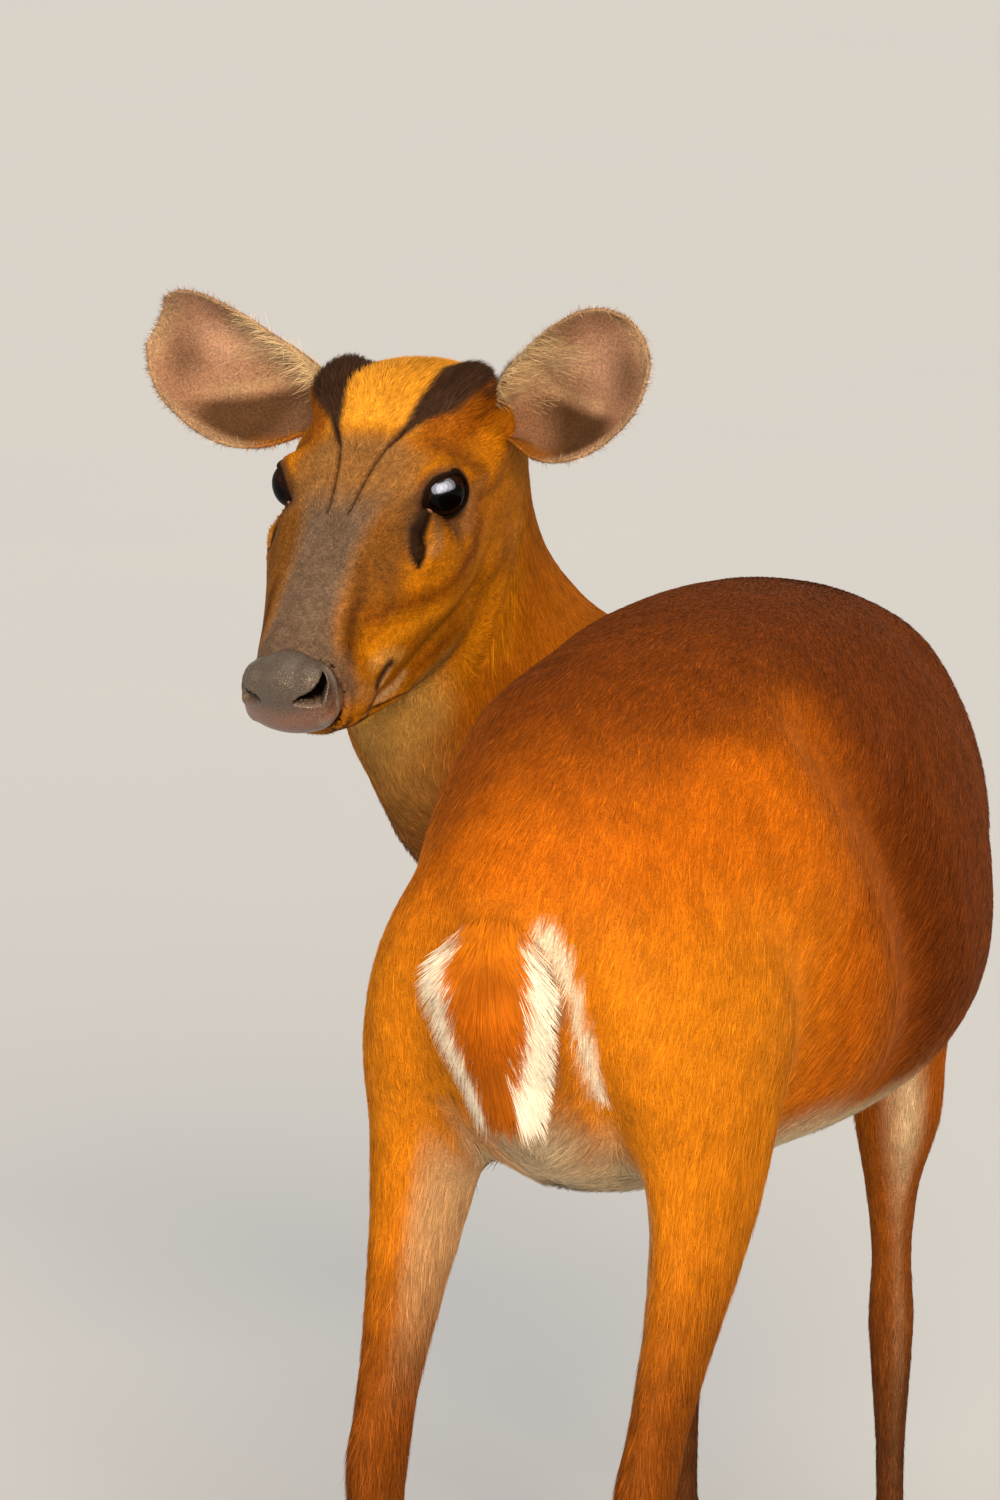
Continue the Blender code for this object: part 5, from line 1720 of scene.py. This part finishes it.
@dataclass
class Ear:
    """One ear: a thin cup rolled round its long axis and open to the front.

    Attributes:
        side: Which ear.
        shape: Share of the length, half widths to crown and cheek (cm), and half angle of the roll (degrees).
        root: The ear's root on the right of the head frame.
        tips: The tips of the right and the left ear, each as if on the right.
        thickness: Of the cup (metres).
        long_hairs: How many long hairs stand on the inner edge.
        obj: The cup's object.
        share: Where each vertex lies between root and tip, from 0 to 1.
        across: Where each vertex lies between the crown's edge and the cheek's, from -1 to 1.
    """

    side: Side
    shape: Rows = (
        (0.0, 1.0, 0.9, 150.0), (0.12, 1.3, 1.5, 124.0), (0.25, 1.8, 2.6, 102.0), (0.4, 2.2, 3.4, 84.0),
        (0.55, 2.5, 3.7, 68.0), (0.7, 2.6, 3.55, 58.0), (0.85, 2.45, 3.0, 52.0), (0.95, 1.9, 2.1, 48.0),
        (1.0, 1.2, 1.3, 46.0),
    )
    root: Place = (4.1, -5.95, -0.15)
    tips: tuple[Place, Place] = ((13.9, -7.0, 4.5), (12.9, -7.0, 4.7))
    thickness: float = 0.0018
    long_hairs: int = 2200
    obj: Object = field(init=False)
    share: Array = field(init=False)
    across: Array = field(init=False)

    def axes(self) -> tuple[Array, Array, Array, Array]:
        """Root, way to the tip, way that the cup faces and way across to the cheek, in metres."""
        mirror = (self.side.value, 1.0, 1.0)
        tip = HEAD.world(np.array(self.tips[0 if self.side is Side.RIGHT else 1]) * mirror)
        root = HEAD.world(np.array(self.root) * mirror)
        along = tip - root
        faces = HEAD.ways((0.0, 0.87, 0.48))
        way = unit(along)
        faces = unit(faces - way * (faces @ way))
        across = np.cross(way, faces)
        cheek = HEAD.ways(np.array([1.0, 0.0, -1.0]) * mirror)
        return root, along, faces, across * np.sign(across @ cheek)

    def build(self, material: Material) -> None:
        """Make the cup from a grid, give it its wall and round its rim."""
        bpy.ops.mesh.primitive_grid_add(x_subdivisions=60, y_subdivisions=48, size=2.0)
        ear = bpy.context.object
        ear.name = "ear_skin_" + self.side.label
        raw = points_of(ear)
        share = (raw[:, 0] + 1) / 2
        part = raw[:, 1]
        _, inner, cheek, half = smooth_rows(self.shape, share).T
        angle = np.radians(half)
        radius = np.where(part > 0, cheek, inner) / np.sin(np.minimum(angle, math.pi / 2))
        turn = angle * part
        deep = radius * (1 - np.cos(turn)) - 1.1 * np.minimum(angle, math.pi / 2)
        root, along, faces, across = self.axes()
        places = root + share[:, None] * along
        places = places + (radius * np.sin(turn) * CM)[:, None] * across + (deep * CM)[:, None] * faces
        move_points(ear, places)
        store(ear, "place", np.column_stack([share, part, np.zeros(len(share))]))
        modified(ear, "SOLIDIFY", thickness=self.thickness, offset=0.0)
        face_outward(ear)
        unwrap(ear)
        modified(ear, "SMOOTH", factor=0.5, iterations=2)
        self.share, self.across = rows_of(ear.data.attributes["place"].data, "vector")[:, :2].T
        self.obj = ear
        finish_piece(ear, material, "coat", "ear_" + self.side.label)

    def ground(self) -> Ground:
        """What the hair needs to know of the ear."""
        _, along, faces, across = self.axes()
        normals = normals_of(self.obj)
        inside = ramp(normals @ faces, -0.1, 0.25)
        rim = np.maximum(ramp(np.abs(self.across), 0.84, 0.97), ramp(self.share, 0.88, 0.97))
        paint = Paint.plain("6E4A24", len(normals))
        fold = self.across - 0.16 - 1.55 * (self.share - 0.37)
        # Painted shade: the deep pocket at the lower part of the cup.
        pocket_shade = inside * ramp(fold, -0.06, 0.12) * ramp(self.share, 0.76, 0.58) * ramp(self.share, 0.1, 0.36)
        ledge = inside * bell(fold + 0.1, 0.09) * ramp(self.share, 0.72, 0.55) * ramp(self.share, 0.2, 0.32)
        pale = inside * ramp(self.across, 0.15, -0.6) * ramp(self.share, 0.62, 0.42)
        for code, amount in (
            ("98745E", inside),
            ("BC9680", inside * bell(self.share - 0.68, 0.16) * bell(self.across + 0.1, 0.4)),
            ("6A4F3E", 0.8 * inside * bell(self.share - 0.82, 0.1) * bell(self.across - 0.35, 0.4)),
            ("B59878", 0.7 * ledge),
            ("BCA488", 0.75 * pale),
            # The pocket's painted shade.
            ("46301C", 0.9 * pocket_shade * ramp(self.across, 0.97, 0.8)),
            ("A88C70", 0.85 * rim * ramp(self.share, 0.12, 0.34)),
            ("9A5E14", 0.9 * ramp(self.share, 0.4, 0.2) * ramp(self.across, 0.6, 0.92)),
        ):
            paint.lay(code, amount)
        lie = np.tile(unit(along), (len(normals), 1)) + across * (self.across * 0.5)[:, None]
        lie = flat_on(lie, normals)
        store(self.obj, COLOUR, paint.colour)
        store(self.obj, LIE, lie)
        ones = np.ones(len(normals))
        density = 75.0 - 45.0 * inside * (1 - rim) + 40.0 * rim
        return Ground(
            self.obj, lie, paint.colour, (0.32 + 0.12 * inside) * CM * ones, 0.034 * CM * ones,
            0.1 + 0.25 * rim, density * 1e4, 0.4 + 0.5 * rim, 0.2 + 0.3 * rim,
        )

    def fringe(self, coat: "Coat", material: Material) -> None:
        """Grow the long cream hairs of the inner edge, which lie across the mouth of the cup."""
        _, along, faces, across = self.axes()
        normals = normals_of(self.obj)
        spot = (normals @ faces > 0.0) & (self.across < 0.1) & (self.share > 0.1) & (self.share < 0.66)
        chosen = np.flatnonzero(spot)
        rng = np.random.default_rng(11 if self.side is Side.RIGHT else 12)
        odds = ramp(self.across, 0.15, -0.9)[chosen] * ramp(self.share, 0.68, 0.42)[chosen] + 0.02
        chosen = rng.choice(chosen, self.long_hairs, p=odds / odds.sum())
        away = unit(along) * 0.7 + across * 0.7
        ways = away + rng.normal(0, 0.22, (len(chosen), 3))
        lengths = rng.uniform(0.8, 2.0, len(chosen)) * CM * (1 - 0.5 * self.share[chosen])
        colours = tint("E6CCA2") * np.exp(rng.normal(0, 0.2, (len(chosen), 1)))
        made = coat.tufts(
            "ear_hair_" + self.side.label, points_of(self.obj)[chosen], normals[chosen],
            flat_on(ways, normals[chosen]), lengths, np.full(len(chosen), 0.018 * CM),
            np.full(len(chosen), 0.08), colours, uv_of_vertices(self.obj)[chosen], 3,
        )
        finish_piece(made, material, "coat")


# ---- the coat


def uv_of_vertices(obj: Object) -> Array:
    """One place on the unwrap for each vertex."""
    made = np.zeros((len(obj.data.vertices), 2))
    index = rows_of(obj.data.loops, "vertex_index", 1, int)[:, 0]
    made[index] = rows_of(obj.data.uv_layers[UNWRAP].uv, "vector", 2)
    return made


@dataclass
class Coat:
    """The hair as solid tufts: flat tapered spikes that lie along the hide.

    Attributes:
        seed: Start of the random draws.
        patch: Size of a tuft's patch on the unwrap.
        piece_limit: Most tufts of the plain kind in one piece.
    """

    seed: int = 3
    patch: float = 0.003
    piece_limit: int = 49000

    def tufts(
        self, label: str, roots: Array, normals: Array, lie: Array, length: Array, width: Array, lift: Array,
        colour: Array, uv: Array, sections: int = 1,
    ) -> Object:
        """Make one mesh of many closed spikes.

        Args:
            label: The object's name.
            roots: Where each tuft starts.
            normals: Which way is out there.
            lie: Which way each tuft points along the surface.
            length: Length of each tuft.
            width: Width of each tuft at its root.
            lift: Slope from the surface.
            colour: Linear colour of each tuft.
            uv: Place of each root on the unwrap.
            sections: Rings of three points before the tip. One makes a straight spike.

        Returns:
            The object.
        """
        count = len(roots)
        side = np.cross(lie, normals)
        rings = []
        facing = []
        for k in range(sections):
            s = k / sections
            rise = length * lift * (s - 0.45 * s * s) - 0.0002 * (k == 0)
            middle = roots + lie * (length * s)[:, None] + normals * rise[:, None]
            half = (width * 0.5 * (1 - 0.55 * s))[:, None]
            rings += [middle - side * half, middle + side * half, middle + normals * half * 0.6]
            facing += [normals - side * 0.45, normals + side * 0.45, normals]
        rings.append(roots + lie * length[:, None] + normals * (length * lift * 0.55)[:, None])
        facing.append(normals + lie * 0.15)
        per = 3 * sections + 1
        points = np.stack(rings, axis=1).reshape(-1, 3)
        faces = [(0, 1, 2)]
        for k in range(sections - 1):
            for a, b in ((1, 0), (2, 1), (0, 2)):
                low, high = 3 * k + a, 3 * k + b
                faces += [(low, high, high + 3), (low, high + 3, low + 3)]
        last = 3 * (sections - 1)
        faces += [(last + a, last + b, per - 1) for a, b in ((1, 0), (2, 1), (0, 2))]
        triangles = (np.array(faces)[None] + (np.arange(count) * per)[:, None, None]).reshape(-1, 3)
        mesh = bpy.data.meshes.new(label)
        mesh.vertices.add(len(points))
        mesh.vertices.foreach_set("co", points.ravel())
        mesh.loops.add(triangles.size)
        mesh.loops.foreach_set("vertex_index", triangles.ravel())
        mesh.polygons.add(len(triangles))
        mesh.polygons.foreach_set("loop_start", np.arange(0, triangles.size, 3))
        mesh.update(calc_edges=True)
        shades = [0.76 + 0.3 * (k // 3) / sections for k in range(per - 1)] + [1.22]
        colours = (colour[:, None, :] * np.array(shades)[None, :, None]).reshape(-1, 3)
        spots = np.array([((k % 3) - 1.0, (k // 3) / sections - 0.5) for k in range(per - 1)] + [(0.0, 0.5)])
        places = (uv[:, None, :] + spots[None] * self.patch * 0.5).reshape(-1, 2)
        mesh.shade_smooth()
        mesh.normals_split_custom_set_from_vertices(unit(np.stack(facing, axis=1)).reshape(-1, 3))
        layer = mesh.uv_layers.new(name=UNWRAP)
        layer.uv.foreach_set("vector", np.clip(places[triangles.ravel()], 0.0, 1.0).ravel())
        obj = bpy.data.objects.new(label, mesh)
        bpy.context.scene.collection.objects.link(obj)
        store(obj, COLOUR, colours)
        store(obj, LIE, np.repeat(lie, per, axis=0))
        return obj

    def plant(self, ground: Ground, label: str, material: Material) -> None:
        """Cover a surface with tufts, evenly and as thickly as its density asks.

        Args:
            ground: The surface.
            label: Start of the pieces' names.
            material: The hair's material.
        """
        rng = np.random.default_rng(self.seed)
        mesh = ground.obj.data
        mesh.calc_loop_triangles()
        corners = rows_of(mesh.loop_triangles, "vertices", 3, int)
        uv = rows_of(mesh.uv_layers[UNWRAP].uv, "vector", 2)[rows_of(mesh.loop_triangles, "loops", 3, int)]
        points = points_of(ground.obj)
        normals = normals_of(ground.obj)
        a, b, c = points[corners[:, 0]], points[corners[:, 1]], points[corners[:, 2]]
        area = np.linalg.norm(np.cross(b - a, c - a), axis=1) / 2
        order = np.argsort(np.round(a[:, 2], 2) * 1000 + np.round(a[:, 1], 2), kind="stable")
        wanted = np.cumsum((area * ground.density[corners].mean(axis=1))[order])
        count = int(wanted[-1])
        picks = np.searchsorted(wanted, np.arange(count) + rng.uniform(0, 1, count))
        picks = order[picks.clip(0, len(corners) - 1)]
        picks = picks[np.argsort(points[corners[picks, 0]] @ (0.2, 1.0, 0.3), kind="stable")]
        share = rng.uniform(0, 1, (count, 2))
        flip = share.sum(axis=1) > 1
        share[flip] = 1 - share[flip]
        weights = np.column_stack([1 - share.sum(axis=1), share])

        def read(values: Array) -> Array:
            """Values of the vertices at the roots."""
            shaped = values.reshape(len(values), -1)[corners[picks]]
            return np.einsum("nkc,nk->nc", shaped, weights)

        roots = read(points)
        up = unit(read(normals))
        lie = flat_on(read(ground.lie), up)
        yaw = rng.normal(0, 1, count)[:, None] * read(ground.unruly)
        lie = lie * np.cos(yaw) + np.cross(up, lie) * np.sin(yaw)
        length = read(ground.length)[:, 0] * rng.uniform(0.7, 1.25, count)
        width = read(ground.width)[:, 0] * rng.uniform(0.8, 1.2, count)
        lift = read(ground.lift)[:, 0] * rng.uniform(0.6, 1.4, count)
        drawn = roots - lie * (np.sum(roots * lie, axis=1) * 0.6)[:, None]
        uneven = 0.8 * rng.normal(0, 1, count) + 0.9 * clumps(drawn, 0.0019)
        colour = read(ground.colour) * np.exp(uneven[:, None] * read(ground.variety))
        place = np.einsum("nkc,nk->nc", uv[picks], weights)
        pieces = max(1, math.ceil(count / self.piece_limit))
        for number, chosen in enumerate(np.array_split(np.arange(count), pieces)):
            made = self.tufts(
                f"{label}_{number + 1}", roots[chosen], up[chosen], lie[chosen], length[chosen],
                width[chosen], lift[chosen], colour[chosen], place[chosen],
            )
            finish_piece(made, material, "coat")


# ---- tail


@dataclass(frozen=True)
class TailHair:
    """The long hair of the tail: brown down the middle, white along the sides and below.

    Attributes:
        locks: How many locks.
        brown_half: Half width of the brown, as a share of the tail's.
    """

    locks: int = 9000
    brown_half: float = 0.67

    def build(self, coat: Coat, hide: Object, material: Material) -> None:
        """Grow the locks from the core to the tail's outline."""
        rng = np.random.default_rng(21)
        drop = 0.2 + 7.4 * rng.uniform(0, 1, self.locks) ** 0.9
        across = rng.uniform(-1, 1, self.locks)
        drop += (0.7 * across**2 + 1.3 * rng.uniform(0, 1, self.locks) ** 2) * ramp(drop, 2.4, 0.2)
        rear = rng.uniform(0, 1, self.locks) < 0.72
        rows = smooth_rows(TAIL_TABLE, drop)
        deep = np.sqrt(np.clip(1 - (0.9 * across) ** 2, 0.05, 1)) * np.where(rear, -1.0, 1.0)
        wide, thick = rows[:, 4] * 0.92, rows[:, 5] * 0.9
        roots = np.column_stack([rows[:, 1] + across * wide, rows[:, 2] + deep * thick, TAIL_TOP - drop])
        length = rng.uniform(1.8, 3.6, self.locks) * (0.35 + 0.65 * ramp(drop, 0.0, 3.0))
        reach = drop + length * 0.93
        end = smooth_rows(TAIL_TABLE, np.minimum(reach, 12.0))
        spread = across * (end[:, 4] * 1.1 + (end[:, 3] * 0.97 - end[:, 4] * 1.1) * ramp(drop, 0.0, 2.0))
        thick = end[:, 5] * 0.9
        tips = np.column_stack(
            [end[:, 1] + spread, end[:, 2] + deep * thick, TAIL_TOP - np.minimum(reach, 12.1)]
        )
        out = unit(np.column_stack([across * 0.6, deep, np.full(self.locks, 0.1)]))
        way = unit(tips - roots)
        out = flat_on(out, way)
        lower = ramp(drop, 2.0, 7.0)
        edge = np.abs(across + 0.15 * lower) + 0.15 * lower + rng.normal(0, 0.05, self.locks)
        white = ramp(edge, self.brown_half - 0.05, self.brown_half + 0.05)
        white = np.maximum(white, np.where(rear, 0.0, 1.0)) * ramp(drop, 0.8, 1.5)
        tree = surface_of(hide)
        uvs = uv_of_vertices(hide)
        places = HEAD.from_plan(roots)
        nearest = [tree.find_nearest(Vector(p)) for p in places]
        spots = np.array([uvs[hide.data.polygons[hit[2]].vertices[0]] for hit in nearest])
        faces = np.array([hit[1] for hit in nearest])
        top = ramp(drop, 2.6, 0.4)[:, None]
        out = out + (faces - out) * top
        out = flat_on(out, way)
        brown = tint("B8620C")[None] * (1 - 0.3 * ramp(drop, 2, 7))[:, None]
        brown = brown + (MARKINGS.body(roots, faces) - brown) * top
        colour = brown * (1 - white[:, None]) + tint("F4EDE0") * white[:, None]
        colour = colour * np.exp(rng.normal(0, 0.12, (self.locks, 1)))
        made = coat.tufts(
            "tail_hair", places, out, way, np.linalg.norm(tips - roots, axis=1) * CM,
            np.full(self.locks, 0.075 * CM), 0.015 + 0.055 * ramp(drop, 0.2, 2.5), colour, spots, 3,
        )
        finish_piece(made, material, "coat", "tail")


# ---- feet


@dataclass(frozen=True)
class Feet:
    """The hooves and dewclaws, whose solids stay and get their horn."""

    def dress(self, material: Material) -> None:
        """Give each hoof and dewclaw its material."""
        horn = [node for name, node in frame["nodes"].items() if name.startswith(("hoof", "dewclaw"))]
        for node in horn:
            node.data.materials.clear()
            node.data.materials.append(material)
        log.info("hooves and dewclaws: %d nodes", len(horn))


# ---- studio


@dataclass(frozen=True)
class Studio:
    """A pale floor, soft lights and the camera.

    Attributes:
        azimuth, elevation: Where the camera stands (degrees).
        distance: Of the camera from the tail (metres).
        lens: Focal length (mm).
        aim: How far the root of the tail lies right of and above the middle of the picture (metres).
        lamps: The lamps by name, each with its azimuth, elevation, spread, power and hex colour.
        glints: Azimuth, elevation and power of the sky's reflections, which only the eyeballs mirror.
    """

    azimuth: float = 28.0
    elevation: float = 12.0
    distance: float = 6.1
    lens: float = 322.0
    aim: tuple[float, float] = (-0.0014, -0.0705)
    lamps: tuple[tuple[str, float, float, float, float, str], ...] = (
        ("key", 36.0, 22.0, 26.0, 3.4, "FFDFB4"), ("side", -50.0, 26.0, 40.0, 0.45, "FFE9CC"),
        ("top", 40.0, 74.0, 50.0, 0.8, "FFF2E4"),
    )
    glints: Rows = ((12.0, 22.0, 34.0), (36.0, 26.0, 40.0), (62.0, 31.0, 26.0), (84.0, 37.0, 18.0))

    def axes(self, azimuth: float, elevation: float) -> tuple[Vector, Vector, Vector]:
        """Right, up and back of something that looks at the animal from an angle."""
        a, e = math.radians(azimuth), math.radians(elevation)
        right = Vector((math.cos(a), math.sin(a), 0.0))
        back = Vector((math.sin(a) * math.cos(e), -math.cos(a) * math.cos(e), math.sin(e)))
        return right, back.cross(right), back

    def build(self) -> None:
        """Make the floor, the lights, the surroundings and the camera."""
        self.floor()
        self.camera()
        for lamp in self.lamps:
            self.lamp(*lamp)
        wet = bpy.data.collections.new("wet")
        for obj in bpy.context.scene.objects:
            if obj.name.startswith("eyeball"):
                wet.objects.link(obj)
        for azimuth, elevation, power in self.glints:
            glint = self.lamp(f"glint_{azimuth:.0f}", azimuth, elevation, 52.0, power, "F4F6FF")
            glint.light_linking.receiver_collection = wet
            glint.visible_diffuse = False
        world = bpy.data.worlds.new("studio")
        bpy.context.scene.world = world
        world.use_nodes = True
        sky = world.node_tree.nodes["Background"]
        set_inputs(world.node_tree, sky, {"Color": linear("F5ECDD"), "Strength": 0.5})
        bpy.context.scene.view_settings.view_transform = "Standard"
        log.info("studio ready")

    def floor(self) -> None:
        """A wide matte floor with a faint mottle."""
        bpy.ops.mesh.primitive_plane_add(size=60.0)
        floor = bpy.context.object
        floor.name = "studio_floor"
        material, tree, shader = new_material("pale plaster")
        place = add_node(tree, "ShaderNodeTexCoord").outputs["Object"]
        mottle = add_node(tree, "ShaderNodeTexNoise", None, {"Vector": place, "Scale": 3.0, "Detail": 4.0})
        mixed = add_node(
            tree, "ShaderNodeMix", {"data_type": "RGBA"},
            {"Factor": mottle.outputs["Fac"], 6: linear("C9D2E0"), 7: linear("CCD5E2")},
        )
        set_inputs(tree, shader, {"Base Color": mixed.outputs[2], "Roughness": 0.9})
        floor.data.materials.append(material)

    def camera(self) -> None:
        """A long lens at the height of a standing viewer."""
        right, up, back = self.axes(self.azimuth, self.elevation)
        tail = Vector(HEAD.from_plan((0.0, 0.0, TAIL_TOP)))
        target = tail - right * self.aim[0] - up * self.aim[1]
        data = bpy.data.cameras.new("camera")
        data.lens = self.lens
        data.sensor_width = 36.0
        data.clip_end = 200.0
        camera = bpy.data.objects.new("camera", data)
        camera.location = tail + back * self.distance
        way = target - camera.location
        camera.rotation_mode = "QUATERNION"
        camera.rotation_quaternion = way.to_track_quat("-Z", "Y")
        bpy.context.scene.collection.objects.link(camera)
        bpy.context.scene.camera = camera

    def lamp(
        self, name: str, azimuth: float, elevation: float, spread: float, power: float, code: str,
    ) -> Object:
        """A wide, far lamp that lights the animal and the floor evenly.

        Args:
            name: The lamp's name.
            azimuth, elevation: Where it stands (degrees).
            spread: How wide it looks from the animal (degrees). Wide lamps are soft.
            power: Its strength.
            code: Hex colour of its light.

        Returns:
            The lamp.
        """
        _, _, back = self.axes(azimuth, elevation)
        data = bpy.data.lights.new(name, "SUN")
        data.angle = math.radians(spread)
        data.energy = power
        data.color = linear(code)[:3]
        lamp = bpy.data.objects.new(name, data)
        lamp.location = back * 6.0
        lamp.rotation_mode = "QUATERNION"
        lamp.rotation_quaternion = (-back).to_track_quat("-Z", "Y")
        bpy.context.scene.collection.objects.link(lamp)
        return lamp


# ---- the whole animal


def main() -> None:
    """Dress the animal, set up the studio and note the sizes."""
    logging.basicConfig(level=logging.INFO, format="%(name)s: %(message)s")
    hair = HairFinish().make()
    underfur = HairFinish("dense underfur", 0.5, 1.0, bump_mm=0.25, variation=0.34).make()
    lid_skin = LidFinish().make()
    pink_skin = LidFinish("moist pink skin", "8A5644", "B08470", 0.35, 0.4).make()
    cornea = EyeFinish().make()
    hide = Hide()
    skin = hide.build()
    coat = Coat()
    ground = hide.ground()
    finish_piece(skin, underfur, "coat", *hide.flesh_nodes())
    coat.plant(ground, "coat", hair)
    for side in Side:
        Eyeball(side).build(cornea)
        Lids(side).build(lid_skin, pink_skin)
        ear = Ear(side)
        ear.build(underfur)
        coat.plant(ear.ground(), "ear_coat_" + side.label, hair)
        ear.fringe(coat, hair)
    NosePad().build(NoseFinish().make())
    TailHair().build(coat, skin, hair)
    Feet().dress(HornFinish().make())
    Studio().build()


if __name__ == "__main__":
    main()
